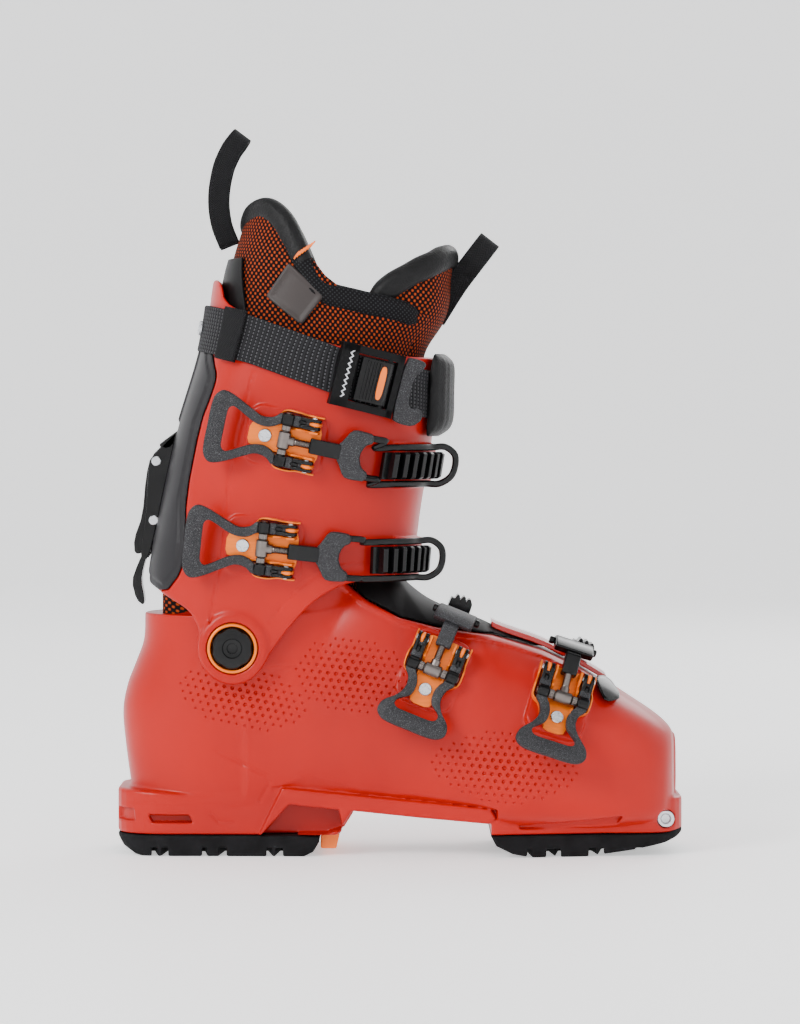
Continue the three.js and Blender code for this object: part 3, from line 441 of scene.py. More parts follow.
def rounded(points, times=2, closed=True):
    """Corners cut back, again and again, into curves."""
    p = np.asarray(points, float)
    for _ in range(times):
        q = np.roll(p, -1, 0) if closed else p[1:]
        a = p if closed else p[:-1]
        cut = np.stack([a * 0.78 + q * 0.22, a * 0.22 + q * 0.78], 1).reshape(-1, p.shape[1])
        p = cut if closed else np.vstack([p[:1], cut, p[-1:]])
    return p


def loft_mesh(rings, caps=True, wrap=False):
    """Faces over rings of points; each ring is closed."""
    rings = np.asarray(rings, float)
    rows, count = rings.shape[:2]
    faces = []
    for r in range(rows if wrap else rows - 1):
        s = (r + 1) % rows
        for i in range(count):
            j = (i + 1) % count
            faces.append((r * count + i, r * count + j, s * count + j, s * count + i))
    if caps and not wrap:
        faces.append(tuple(range(count - 1, -1, -1)))
        faces.append(tuple((rows - 1) * count + i for i in range(count)))
    return rings.reshape(-1, 3), faces


def swept(path, section, side=None):
    """Rings of a section (a list of across and out) along a path. side gives the across direction."""
    path = np.asarray(path, float)
    tangent = np.gradient(path, axis=0)
    tangent /= np.linalg.norm(tangent, axis=1)[:, None]
    rings = []
    last = None
    for i, (p, t) in enumerate(zip(path, tangent)):
        if side is not None:
            a = np.asarray(side[i] if np.ndim(side) == 2 else side, float)
        elif last is None:
            a = np.cross(t, (0, 0, 1)) if abs(t[2]) < 0.9 else np.cross(t, (1, 0, 0))
        else:
            a = last
        a = a - t * (a @ t)
        a /= np.linalg.norm(a)
        last = a
        b = np.cross(t, a)
        shape = section(i / (len(path) - 1)) if callable(section) else section
        rings.append([p + a * u + b * v for u, v in shape])
    return rings


def oval(width, height, count=12, square=2.0):
    turn = np.linspace(0, 2 * np.pi, count, endpoint=False)
    return [(width / 2 * bulge(math.cos(a), square), height / 2 * bulge(math.sin(a), square)) for a in turn]


def extruded(points, low, high, axis=2):
    """An outline run along an axis (2: up Z; 1: along Y, from an XZ outline)."""
    p = np.asarray(points, float)
    n = len(p)
    if axis == 2:
        rows = [np.column_stack([p, np.full(n, v)]) for v in (low, high)]
    else:
        rows = [np.column_stack([p[:, 0], np.full(n, v), p[:, 1]]) for v in (low, high)]
    return loft_mesh(rows)


def merged(*parts):
    points, faces, start = [], [], 0
    for p, f in parts:
        points.append(np.asarray(p, float))
        faces += [tuple(i + start for i in face) for face in f]
        start += len(p)
    return np.vstack(points), faces


def lathe(profile, center, axis="y", count=40):
    """A profile of (radius, height) turned round an axis."""
    turn = np.linspace(0, 2 * np.pi, count, endpoint=False)
    rings = []
    for r, h in profile:
        c, s = r * np.cos(turn), r * np.sin(turn)
        flat = np.full(count, h)
        ring = {"y": (c, flat, s), "z": (c, s, flat), "x": (flat, c, s)}[axis]
        rings.append(np.column_stack(ring) + center)
    return loft_mesh(rings)


def rod(radius, low, high, x, z, count=20, chamfer=0.3, axis="y"):
    profile = [(0.01, low), (radius - chamfer, low), (radius, low + chamfer), (radius, high - chamfer),
               (radius - chamfer, high), (0.01, high)]
    center = {"y": (x, 0, z), "z": (x, z, 0), "x": (0, x, z)}[axis]
    return lathe(profile, np.array(center, float), axis, count)


# ---- Carving: shells are the zero level of a distance on a grid ----
def smooth_min(a, b, k):
    h = np.clip(0.5 + 0.5 * (b - a) / k, 0, 1)
    return b + (a - b) * h - k * h * (1 - h)


def smooth_max(a, b, k):
    return -smooth_min(-a, -b, k)


class Grid:
    def __init__(self, low, high, step=STEP):
        self.low, self.step = np.array(low, np.float32), step
        self.x, self.y, self.z = [np.arange(a, b, step, dtype=np.float32) for a, b in zip(low, high)]
        self.X, self.Y, self.Z = self.x[:, None, None], self.y[None, :, None], self.z[None, None, :]

    def outline(self, points, u, v):
        p = np.asarray(points, np.float32)
        near = np.full(np.broadcast(u, v).shape, 1e9, np.float32)
        inside = np.zeros(near.shape, bool)
        for a, b in zip(p, np.roll(p, -1, 0)):
            e = b - a
            t = np.clip(((u - a[0]) * e[0] + (v - a[1]) * e[1]) / max(float(e @ e), 1e-9), 0, 1)
            near = np.minimum(near, (u - a[0] - e[0] * t) ** 2 + (v - a[1] - e[1] * t) ** 2)
            rise = e[1] if abs(e[1]) > 1e-9 else 1e-9
            inside ^= ((a[1] > v) != (b[1] > v)) & (u < e[0] * (v - a[1]) / rise + a[0])
        return np.where(inside, -1, 1) * np.sqrt(near)

    def side(self, points):
        return self.outline(points, self.x[:, None], self.z[None, :])[:, None, :]

    def plan(self, points):
        return self.outline(points, self.x[:, None], self.y[None, :])[:, :, None]

    def track(self, points):
        """Distance, seen from the side, to an open line."""
        u, v = self.x[:, None], self.z[None, :]
        p = np.asarray(points, np.float32)
        near = np.full((len(self.x), len(self.z)), 1e9, np.float32)
        for a, b in zip(p[:-1], p[1:]):
            e = b - a
            t = np.clip(((u - a[0]) * e[0] + (v - a[1]) * e[1]) / max(float(e @ e), 1e-9), 0, 1)
            near = np.minimum(near, np.hypot(u - a[0] - e[0] * t, v - a[1] - e[1] * t))
        return near[:, None, :]

    def distance(self, f):
        gx, gy, gz = np.gradient(f, self.step)
        return (f / np.sqrt(gx * gx + gy * gy + gz * gz + 1e-6)).astype(np.float32)

    def tube(self, rows):
        rear, front, half, square = [v.astype(np.float32)[None, None, :] for v in along(rows, self.z).T]
        u = np.abs((self.X - (rear + front) / 2) / ((front - rear) / 2)) ** square
        v = np.abs(self.Y / half) ** square
        return self.distance(((u + v) ** (1 / square) - 1) * half)

    def foot(self):
        bottom, top, half, square = [v.astype(np.float32)[:, None, None] for v in along(CLOG, self.x).T]
        waist = bottom + 0.4 * (top - bottom)
        upper = self.Z > waist
        power = np.where(upper, square, 4.0).astype(np.float32)
        rise = np.where(upper, top - waist, waist - bottom)
        u = np.abs((self.Y - toe_turn(self.X).astype(np.float32)) / half)
        v = np.abs((self.Z - waist) / rise) ** power
        raised = np.where(upper, u ** square, u ** 4.0)
        return self.distance(((raised + v) ** (1 / power) - 1) * np.minimum(half, 40))

    def block(self, matrix, reach):
        """The part of the grid near a local frame, with its local coordinates."""
        c, low = matrix[:3, 3], self.low
        cut = tuple(slice(int(max(0, (c[i] - reach - low[i]) / self.step)),
                          int(max(1, (c[i] + reach - low[i]) / self.step))) for i in range(3))
        x, y, z = self.X[cut[0]] - c[0], self.Y[:, cut[1]] - c[1], self.Z[:, :, cut[2]] - c[2]
        return cut, [x * a[0] + y * a[1] + z * a[2] for a in matrix[:3, :3].T]

    def skin(self, f):
        """Points and quads of the zero level."""
        for side in (f[0], f[-1], f[:, 0], f[:, -1], f[:, :, 0], f[:, :, -1]):
            np.maximum(side, self.step, out=side)
        inside = f < 0
        count = sum(inside[i:f.shape[0] - 1 + i, j:f.shape[1] - 1 + j,
                           k:f.shape[2] - 1 + k].astype(np.uint8)
                    for i in (0, 1) for j in (0, 1) for k in (0, 1))
        active = (count > 0) & (count < 8)
        cells = np.argwhere(active)
        index = np.full(active.shape, -1, np.int32)
        index[active] = np.arange(len(cells), dtype=np.int32)
        ci, cj, ck = cells.T
        total, number = np.zeros((len(cells), 3)), np.zeros(len(cells))
        for a in np.ndindex(2, 2, 2):
            for axis in range(3):
                if a[axis]:
                    continue
                b = list(a)
                b[axis] = 1
                fa, fb = f[ci + a[0], cj + a[1], ck + a[2]], f[ci + b[0], cj + b[1], ck + b[2]]
                cross = (fa < 0) != (fb < 0)
                t = np.where(cross, fa / np.where(cross, fa - fb, 1), 0)
                point = np.tile(np.array(a, float), (len(cells), 1))
                point[:, axis] += t
                total += point * cross[:, None]
                number += cross
        points = (cells + total / number[:, None]) * self.step + self.low
        quads = []
        for axis in range(3):
            u, v = (axis + 1) % 3, (axis + 2) % 3
            near = [slice(1, -1)] * 3
            far = [slice(1, -1)] * 3
            near[axis], far[axis] = slice(0, -1), slice(1, None)
            start, end = inside[tuple(near)], inside[tuple(far)]
            edges = np.argwhere(start != end)
            flip = ~start[tuple(edges.T)]
            offset = np.ones(3, int)
            offset[axis] = 0
            base = edges + offset

            def cell(du, dv):
                at = base.copy()
                at[:, u] += du
                at[:, v] += dv
                return index[tuple(at.T)]

            quad = np.column_stack([cell(-1, -1), cell(0, -1), cell(0, 0), cell(-1, 0)])
            quad[flip] = quad[flip][:, ::-1]
            quads.append(quad)
        return points, np.vstack(quads)

    def carve(self, f, name, material, body, slot, passes=1):
        points, quads = self.skin(f)
        for _ in range(passes):
            total, number = np.zeros_like(points), np.zeros(len(points))
            for i in range(4):
                a, b = quads[:, i], quads[:, (i + 1) % 4]
                for k in range(3):
                    total[:, k] += np.bincount(a, points[b, k], len(points))
                number += np.bincount(a, minlength=len(points))
            points = points * 0.5 + 0.5 * total / number[:, None]
        return build(name, points, quads, material, body, slot)


def bezier(a, b, c, d, count=8):
    t = np.linspace(0, 1, count)[:, None]
    a, b, c, d = map(np.array, (a, b, c, d))
    return list((1 - t) ** 3 * a + 3 * (1 - t) ** 2 * t * b + 3 * (1 - t) * t * t * c + t ** 3 * d)


def lug_plan(end, inner, inner_half, round_, half=34.8):
    way = 1 if end > inner else -1
    straight = end - way * 45
    side = [(inner, -inner_half), (straight, -half)]
    side += bezier((end - way * round_, -half), (end - way * round_ * 0.35, -half), (end, -half * 0.72),
                   (end, -half * 0.4))
    return side + [(x, -y) for x, y in reversed(side)]


HEEL_PLAN, TOE_PLAN = lug_plan(-54.5, 76, 37, 30), lug_plan(254.5, 148, 45, 26)

# ---- Lower shell ----
SEAM = [(66, 152), (72, 147), (82, 139), (100, 129.5), (120, 124), (150, 119.5), (178, 111), (197, 102),
        (214, 91)]
# Fields of dimples on the lateral side: middle x and z, half sizes, tilt in degrees.
DIMPLES = [(15, 87, 37, 17, -12), (74, 99, 32, 21, -6), (156, 50, 39, 19.5, -4)]


def lower_shell():
    g = Grid((-60, -64, 9), (260, 68, 172))
    side = np.abs(g.Y)
    foot = np.maximum(g.foot(), np.maximum(19 - g.X, g.X - 251.5))
    heel = np.maximum(g.tube(HEEL), np.maximum(22 - g.Z, g.Z - 131))
    neck = np.maximum(g.tube(NECK), np.maximum(105 - g.Z, g.Z - 166))
    # The sides turn under along a crisp line above the flange.
    x = g.x[:, None, None]
    flange_top = np.interp(x, (36, 149), (37.6, 26.8)).astype(np.float32)
    crease = np.interp(x, (30, 42, 48, 100, 142, 152), (38, 45, 48.5, 39, 30.5, 27)).astype(np.float32)
    flange_half = np.interp(x, (25, 150), (38, 45.5)).astype(np.float32)
    rim = np.interp(x, (36, 80, 150), (41, 44.5, 51)).astype(np.float32)
    share = np.clip((g.Z - flange_top) / (crease - flange_top), 0, 1)
    hollow = side - (flange_half - 3.5 + share * (rim - flange_half + 3.5))
    below = np.where((g.X > 31) & (g.X < 152) & (g.Z < crease), hollow * 0.85, -50)
    foot = np.maximum(foot, below)
    body = smooth_min(smooth_min(foot, heel, 7), neck, 4)
    hollow_foot = np.maximum(g.foot() + WALL, np.maximum(24 - g.X, g.X - 246))
    cavity = np.minimum(np.minimum(hollow_foot, np.maximum(g.tube(HEEL) + WALL, g.Z - 127)),
                        np.where(g.Z > 100, g.tube(NECK) + WALL, 50))
    cavity = np.maximum(cavity, FLOOR - g.Z)
    heel_side = g.side([(-55.5, 11.75), (56.6, 11.75), (56.6, 12.4), (67.4, 12.4), (75, 24.5), (75, 38),
                        (40, 37.5),
                        (-5, 33), (-40, 35.5), (-55.5, 36.4)])
    toe_side = g.side([(149, 12.4), (255.5, 12.4), (255.5, 31.5), (244, 31.2), (230, 27.5), (200, 22),
                       (149, 21)])
    heel_lug = smooth_max(g.plan(HEEL_PLAN), heel_side, 2.2)
    toe_lug = smooth_max(g.plan(TOE_PLAN), toe_side, 2.2)
    flange = smooth_max(g.side([(36, 37.8), (23.4, 11.75), (66, 12.2), (74, 25.3), (110, 21.8), (148, 18.6),
                                (152, 22), (149, 27)]),
                        side - flange_half, 1.6)
    outside = smooth_min(body, np.minimum(heel_lug, toe_lug), 1.8)
    outside = smooth_min(outside, flange, 0.5)
    # Raised plastic under the two buckle bases.
    for number in (1, 2):
        cut, (u, v, w) = g.block(BUCKLES[number]["at"], 34)
        oval_plan = np.hypot(np.maximum(np.abs(u + 0.5) - 13, 0), np.maximum(np.abs(v) - 8.5, 0)) - 7.5
        pad = smooth_max(oval_plan.astype(np.float32), w - 0.5, 0.8)
        pad = np.maximum(pad, -9 - w)
        outside[cut] = smooth_min(outside[cut], pad, 0.9)
    # Pockets, slots and seams of the side.
    def pocket(points, start):
        return np.maximum(g.side(points), start - side)

    cuts = np.minimum(pocket([(24.5, 11.7), (39.8, 28.6), (67, 25.9), (69.3, 15.5), (60, 12.6)], 26),
                      pocket([(-36.6, 22.6), (-14.3, 22.6), (-12.4, 18.2), (-34.4, 18.2)], 28.5))
    cuts = np.minimum(cuts, np.maximum(g.side([(-58, 25.7), (-44.5, 25.4), (-43.8, 19), (-58, 19)]),
                                       np.maximum(17.5 - side, 36 - np.hypot(g.X + 20, g.Y))))
    cuts = np.minimum(cuts, pocket([(164.4, 18), (186, 19.6), (220.4, 23.3), (215.6, 15.9), (164.6, 15.6)],
                                   39.5))
    shell = smooth_max(outside, -cuts, 0.35)
    for track, width, depth in (([(1, 57.5), (27.2, 44.4), (30, 41.2), (24, 30.2)], 0.55, 0.6),
                                ([(-2.8, 23.7), (1.6, 18.8), (9.2, 18.5)], 0.5, 0.7),
                                ([(-46, 29.4), (-20, 28.6), (20, 27.4)], 0.35, 0.25)):
        groove = np.maximum(g.track(track) - width, -depth - outside)
        shell = smooth_max(shell, -groove, 0.4)
    # Screw ways, insert seats and the bay of the heel insert.
    seat = np.hypot(g.X - 244.5, g.Z - 19.8) - 5.0
    shell = np.maximum(shell, -np.maximum(seat, 24.5 - side))
    notch = np.maximum(g.side([(244, 23.4), (250.6, 22.2), (250.6, 17.2), (244, 16)]), 29.4 - side)
    shell = smooth_max(shell, -notch, 0.5)
    shell = np.maximum(shell, -np.maximum(np.maximum(np.abs(g.Y) - 10.4, g.X + 50.6),
                                          np.abs(g.Z - 22.5) - 8.9))
    for screw in (-4, 186):
        shell = np.maximum(shell, -np.maximum(np.hypot(g.X - screw, g.Y) - 3.4, g.Z - 20))
    above = g.side(SEAM + [(300, 80), (300, 300), (66, 300)])
    shell = smooth_max(shell, -cavity, 0.8)
    shell = smooth_max(shell, -above, 1.2)
    # The rim over the seam stands a little proud.
    rim_line = np.maximum(np.abs(g.track(SEAM) - 1.6) - 1.4, np.abs(outside - 0.1) - 0.8)
    shell = smooth_min(shell, np.maximum(rim_line, -above), 0.8)
    return g.carve(shell, "shell_body", RED, "shell", "shell", passes=1)


def dimple(obj):
    """Rows of round dents, deep in the middle of each field and fading out at its edge."""
    low = -np.array(SHIFT)
    work = bmesh.new()
    work.from_mesh(obj.data)
    edges, dots = set(), []
    for x, z, a, b, tilt in DIMPLES:
        c, s = math.cos(math.radians(tilt)), math.sin(math.radians(tilt))
        for i in range(-26, 27):
            for j in range(-26, 27):
                u, v = 4.3 * (i + 0.5 * (j % 2)), 3.72 * j
                r = math.hypot(u / a, v / b)
                if r < 1:
                    dots.append((x + u * c - v * s, z + u * s + v * c, 1.3 * (1 - 0.5 * r)))
        for face in work.faces:
            p = face.calc_center_median() * 1000
            px, py, pz = p.x + low[0], p.y + low[1], p.z + low[2]
            if py > -20:
                continue
            u, v = (px - x) * c + (pz - z) * s, -(px - x) * s + (pz - z) * c
            if math.hypot(u / (a + 2), v / (b + 2)) < 1 and face.normal.y < -0.3:
                edges.update(face.edges)
    bmesh.ops.subdivide_edges(work, edges=list(edges), cuts=2 if STEP < 1 else 1, use_grid_fill=True)
    work.verts.ensure_lookup_table()
    points = np.array([v.co for v in work.verts]) * 1000 + low
    normals = np.array([v.normal for v in work.verts])
    push = np.zeros(len(points))
    facing = (points[:, 1] < -20) & (normals[:, 1] < -0.3)
    index = np.flatnonzero(facing)
    order = index[np.argsort(points[index, 0])]
    xs = points[order, 0]
    for x, z, r in dots:
        near = order[np.searchsorted(xs, x - r):np.searchsorted(xs, x + r)]
        d = np.hypot(points[near, 0] - x, points[near, 2] - z) / r
        push[near] = np.maximum(push[near], 1.1 * r * np.clip(1 - d ** 3, 0, 1))
    for vert, amount, normal in zip(work.verts, push, normals):
        if amount:
            vert.co -= Vector(normal) * float(amount) / 1000
    work.to_mesh(obj.data)
    work.free()
    obj.data.polygons.foreach_set("use_smooth", [True] * len(obj.data.polygons))


shell = lower_shell()
dimple(shell)
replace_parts(shell, "lower_shell")


# ---- Cuff ----
CUFF_SIDE = [(109, 153), (73, 150), (55, 141), (40, 125), (26, 105), (19, 97), (10, 94), (1, 97), (-5, 104),
             (-7.5, 115),
             (-8, 124), (-13, 134), (-27, 142), (-42, 150.5), (-42, 240), (-14, 290), (-8, 313), (3.4, 313),
             (6, 297),
             (60, 277), (100, 270), (140, 271), (140, 200), (116, 170)]
SPINE_SIDE = [(-60, 160), (-42, 150.5), (-27, 142), (-17, 155), (-15, 170), (-15, 195), (-7, 235),
              (-1, 250), (2, 260),
              (0, 268), (-2, 284), (-30, 292), (-60, 292)]
CATCHES = {3: 161.5, 4: 212}


def shrunk(points, by):
    p = np.asarray(points, float)
    before, after = p - np.roll(p, 1, 0), np.roll(p, -1, 0) - p
    before /= np.linalg.norm(before, axis=1)[:, None]
    after /= np.linalg.norm(after, axis=1)[:, None]
    area = np.sum(p[:, 0] * np.roll(p[:, 1], -1) - np.roll(p[:, 0], -1) * p[:, 1])
    turn = 1 if area > 0 else -1
    n0 = np.column_stack([-before[:, 1], before[:, 0]]) * turn
    n1 = np.column_stack([-after[:, 1], after[:, 0]]) * turn
    return p + (n0 + n1) * (by / (1 + np.sum(n0 * n1, axis=1)))[:, None]


def cuff():
    g = Grid((-46, -70, 86), (150, 70, 320))
    tube = g.tube(CUFF)
    outline = g.side(rounded(CUFF_SIDE, 2))
    wall = smooth_max(smooth_max(tube, outline, 1.6), -(tube + WALL), 1.2)
    hub = np.hypot(g.X - PIVOT[0], g.Z - PIVOT[2])
    boss = smooth_max(hub - 18.6, np.abs(g.Y) - 51.6, 2.4)
    boss = np.maximum(boss, 46 - np.abs(g.Y))
    wall = smooth_min(wall, boss, 3.2)
    for number in (3, 4):
        cut, (u, v, w) = g.block(BUCKLES[number]["at"], 40)
        plan = np.hypot(np.maximum(np.abs(u + 1) - 13.5, 0), np.maximum(np.abs(v) - 8.5, 0)) - 7.5
        pad = np.maximum(smooth_max(plan.astype(np.float32), w - 0.5, 0.8), -9 - w)
        wall[cut] = smooth_min(wall[cut], pad, 0.9)
        band = np.maximum(np.abs(g.Z - CATCHES[number]) - 11.6,
                          np.maximum(97 - g.X, np.abs(g.Y + 31.7) - 16.4))
        wall = smooth_min(wall, smooth_max(smooth_max(tube - 4, band, 2.2), -(tube + 2), 0.5), 1.4)
    spine = g.side(rounded(SPINE_SIDE, 1))
    wall = smooth_max(wall, -smooth_max(spine, -(tube + 2.35), 0.5), 0.5)
    # The lateral flap lies over the medial one.
    step = np.maximum(np.maximum(15.5 - g.Y, g.Y - 30), np.maximum(100 - g.X, -1.4 - tube))
    wall = smooth_max(wall, -step, 0.8)
    slit = np.maximum(np.abs(g.Y - 15.6) - 0.7, 100 - g.X)
    wall = np.maximum(wall, -slit)
    # A shallow step runs up the side, behind the buckles, and another follows the lower edge.
    for track, width, depth in (([(-2, 128), (2, 150), (6, 190), (16, 240), (22, 262)], 0.5, 0.5),
                                ([(30, 128), (44, 146), (62, 158), (100, 162)], 0.45, 0.45)):
        wall = smooth_max(wall, -np.maximum(g.track(rounded(track, 2, closed=False)) - width,
                                            -depth - tube), 0.4)
    wall = np.maximum(wall, PIVOT_HOLE - hub)
    obj = g.carve(wall, "cuff_body", RED, "cuff", "shell", passes=1)
    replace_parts(obj, "cuff")
    back = smooth_max(smooth_max(tube, g.side(shrunk(rounded(SPINE_SIDE, 1), 0.45)), 1.0), -(tube + 2), 0.4)
    back = smooth_max(back, g.side(shrunk(rounded(CUFF_SIDE, 2), 0.1)), 0.8)
    inner = g.side(shrunk(SPINE_SIDE, 4.5))
    panel = smooth_max(smooth_max(tube - 0.8, inner, 0.8), -(tube + 1), 0.3)
    back = smooth_min(back, panel, 0.6)
    ridge = np.maximum(np.abs(g.Y) - 11.5, np.maximum(g.Z - 282, 236 - g.Z))
    back = smooth_min(back, smooth_max(smooth_max(tube - 2.0, np.maximum(ridge, g.X - 20), 1.2),
                                       -(tube + 1), 0.3), 1.2)
    back_obj = g.carve(back, "spine_panel", SPINE, "cuff", "spine", passes=1)
    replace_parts(back_obj, "cuff_spine")
    return obj


cuff()

# ---- Ankle pivots ----
for sign, names in ((-1, ("pivot_knob", "pivot_ring")), (1, ("pivot_bolt_medial",))):
    y = 53.2 if sign < 0 else 52.4
    lobes, rings = 48, []
    turn = np.linspace(0, 2 * np.pi, lobes, endpoint=False)
    scallop = 1 - 0.075 * np.clip(np.cos(turn * 6), 0.15, 1)
    for radius, height, wavy in ((0.4, 42.6, 0), (11.3, 42.6, 0), (11.3, 50.2, 0), (11.4, y - 1.2, 1),
                                 (10.7, y - 0.2, 1), (9.4, y, 0.4),
                                 (5.4, y, 0), (4.9, y - 0.8, 0), (2.9, y - 1.0, 0), (2.6, y - 2.4, 0),
                                 (0.4, y - 2.5, 0)):
        r = radius * (1 + (scallop - 1) * wavy)
        rings.append(np.column_stack([r * np.cos(turn) + PIVOT[0], np.full(lobes, height * sign),
                                      r * np.sin(turn) + PIVOT[2]]))
    knob = build("ankle_knob" if sign < 0 else "ankle_bolt", *loft_mesh(rings),
                 BLACK if sign < 0 else DARK_STEEL, "cuff",
                 "black_plastic" if sign < 0 else "steel", auto=40)
    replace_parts(knob, *(names[:1]))
    if sign < 0:
        ring = build("ankle_ring", *lathe([(11.75, -45.6), (13.5, -45.6), (13.5, -51.6), (13.2, -52.2),
                                           (12.2, -52.5), (11.75, -52.0),
                                           (11.75, -45.6)], np.array([PIVOT[0], 0, PIVOT[2]]), "y", 64),
                     ANODISED, "cuff", "orange_metal")
        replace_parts(ring, "pivot_ring")

# ---- Soles ----
def sole(name, plan, profile, node, grooves, top):
    low, high = (min(p[0] for p in profile) - 4, max(p[0] for p in profile) + 4)
    g = Grid((low, -50, -3), (high, 50, top + 4), STEP * 0.85)
    body = smooth_max(g.plan(plan), g.side(profile), 1.2)
    edge = -g.plan(plan)
    for x, width, slope, inner in grooves:
        for sign in (-1, 1):
            lean = (g.X - x) + sign * g.Y * slope * sign
            cut = np.maximum(np.abs(lean) - width / 2, np.maximum(g.Z - 4.6, inner - sign * g.Y))
            body = smooth_max(body, -cut, 0.5)
    rows = np.maximum(np.maximum(np.abs(g.Y) - 9, g.Z - 2.2), 12 - edge)
    body = smooth_max(body, -rows, 0.6)
    obj = g.carve(body, name, RUBBER, "shell", "sole_rubber", passes=1)
    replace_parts(obj, node)


sole("heel_tread", HEEL_PLAN, [(-55.5, 11.4), (-50.5, 5), (-43.5, 0.8), (-40, 0), (48, 0), (53, 2.5),
                               (56.3, 8), (56.3, 11.4)],
     "heel_sole", [(-38, 3, 0.15, 12), (-24, 3.4, -0.1, 12), (-10, 2.6, 0.12, 14), (8, 4, -0.12, 12),
                   (24, 3, 0.15, 12), (38, 4, -0.1, 12)], 11.4)
sole("toe_tread", TOE_PLAN, [(149, 12.1), (152, 6.5), (161, 2), (171, 0), (203, 0), (226, 3.4), (244, 7),
                             (250.5, 9.5), (254.6, 12.1),
                             (254.6, 16), (244, 12.1)],
     "toe_sole", [(166, 2.6, 0.1, 15), (177, 5, 0.12, 13), (190, 3, -0.12, 12), (201, 4.5, 0.1, 12),
                  (214, 3, -0.15, 12), (226, 3, 0.1, 12)], 16)

# ---- Small sole pieces ----
def steel_insert(sign, node):
    profile = [(0.3, 26.9), (2.2, 27.2), (2.6, 29.2), (3.0, 29.6), (4.3, 29.6), (4.6, 29.3), (4.6, 24.9),
               (0.3, 24.9)]
    obj = build(f"pin_insert_{node}", *lathe([(r, sign * h) for r, h in profile],
                                             np.array([244.5, 0, 19.8]), "y", 36), STEEL,
                "shell", "steel", auto=35)
    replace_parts(obj, node)


steel_insert(1, "toe_insert_left")
steel_insert(-1, "toe_insert_right")
spacer = build("sole_wedge", *extruded([(56.9, 3.7), (65.4, 3.7), (67.4, 12.0), (56.9, 12.0)], -30, 30, 1),
               ORANGE, "shell",
               "orange_plastic", bevel=0.8)
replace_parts(spacer, "sole_spacer")
for name, node, x in (("heel_tread_screw", "heel_sole_screw", -4),
                      ("toe_tread_screw", "toe_sole_screw", 186)):
    head = lathe([(0.3, 3.6), (1.9, 3.6), (2.1, 3.0), (4.2, 3.0), (4.6, 3.5), (4.6, 6), (3, 6), (3, 19.8),
                  (0.3, 19.8)],
                 np.array([x, 0, 0.0]), "z", 28)
    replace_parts(build(name, *head, STEEL, "shell", "steel", auto=35), node)
plate = extruded([(-54.2, -9.6), (-51.6, -9.6), (-51.6, 9.6), (-54.2, 9.6)], 14.4, 30.6)
heel_plate = build("heel_plate", *plate, STEEL, "shell", "steel", bevel=0.7)
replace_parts(heel_plate, "heel_insert")
for sign in (-1, 1):
    build(f"heel_plate_slot_{'a' if sign < 0 else 'b'}",
          *extruded([(-54.35, sign * 5.5 - 1.4), (-54.1, sign * 5.5 - 1.4),
                 (-54.1, sign * 5.5 + 1.4), (-54.35, sign * 5.5 + 1.4)], 17, 28), BLACK_SOFT, "shell",
          "black_plastic", bevel=0.1)
# Teeth of the climbing strip under the arch.
teeth = []
for x in np.arange(82, 148, 3.0):
    z = np.interp(x, (74, 110, 148), (25.2, 21.6, 18.4))
    teeth.append(extruded([(x, z + 1.4), (x + 0.3, z - 1.0), (x + 1.9, z - 1.1), (x + 2.4, z + 1.2)], -30,
                          30, 1))
build("arch_grip", *merged(*teeth), RUBBER, "shell", "sole_rubber", bevel=0.25)
frame["nodes"]["boot_board"].data.materials.clear()
frame["nodes"]["boot_board"].data.materials.append(BOARD)

# ---- Instep ----
def instep():
    g = Grid((62, -52, 74), (240, 58, 162))
    foot = g.foot()
    over = g.side([(x + 0.6, z + 0.6) for x, z in SEAM] + [(240, 110), (240, 230), (66, 230)])
    bounds = g.side([(76, 100), (205, 80), (205, 160), (112, 150), (98, 157), (76, 158)])
    # A soft flap that swells a little between its edges.
    swell = 1.2 * np.exp(-((g.Y + 10) / 26) ** 2) * np.exp(-((g.X - 140) / 40) ** 2)
    skin = smooth_max(foot - swell, -(foot + 3), 0.6)
    skin = smooth_max(skin, over, 0.8)
    skin = smooth_max(skin, bounds, 0.8)
    folds = np.abs(np.sin((g.X * 0.8 + g.Z * 0.55) * 0.33)) * 0.7
    skin = np.maximum(skin, -(foot + 3.2))
    obj = g.carve(skin + np.where(foot > -1.2, folds * 0.5, 0), "instep_flap", GASKET, "shell", "gasket",
                  passes=2)
    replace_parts(obj, "instep_gasket")
    clip = smooth_max(np.abs(foot - 2.2) - 1.7,
                      g.side(rounded([(206, 97.5), (214, 97), (221, 86), (211, 84), (207, 91)], 1)), 0.8)
    clip = smooth_max(clip, np.maximum(g.Y + 16.5, -46 - g.Y), 0.8)
    obj = g.carve(clip, "strip_keeper", BLACK, "shell", "black_plastic", passes=1)
    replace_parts(obj, "strip_clip")


instep()
xs = np.linspace(150, 213, 26)
rings = []
for x in xs:
    z, wide = foot_point(x, math.pi / 2)[2] + 0.7, 15 * min(1, 0.75 + (213 - x) / 30)
    row = []
    for v in np.linspace(-1, 1, 13):
        row.append((x, v * wide, z + 3.4 - 1.1 * abs(v) ** 3))
    for v in np.linspace(1, -1, 13):
        row.append((x, v * wide, z - 0.1 - 0.6 * abs(v) ** 3))
    rings.append(row)
strip_obj = build("overlap_ridge", *loft_mesh(rings), RED_GLOSS, "shell", "overlap", bevel=0.6)
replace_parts(strip_obj, "overlap_strip")


# ---- Liner ----
def knit_by_angle(obj):
    """Keeps, for the knit, how far round the leg and how high each point is."""
    p = np.array([v.co for v in obj.data.vertices]) * 1000 - SHIFT
    for name, values in (("along", np.arctan2(p[:, 1], p[:, 0] - LEG[0]) * 56),
                         ("across", p[:, 2] + 0.15 * p[:, 0])):
        layer = obj.data.attributes.new(name, "FLOAT", "POINT")
        layer.data.foreach_set("value", values.astype(np.float32))


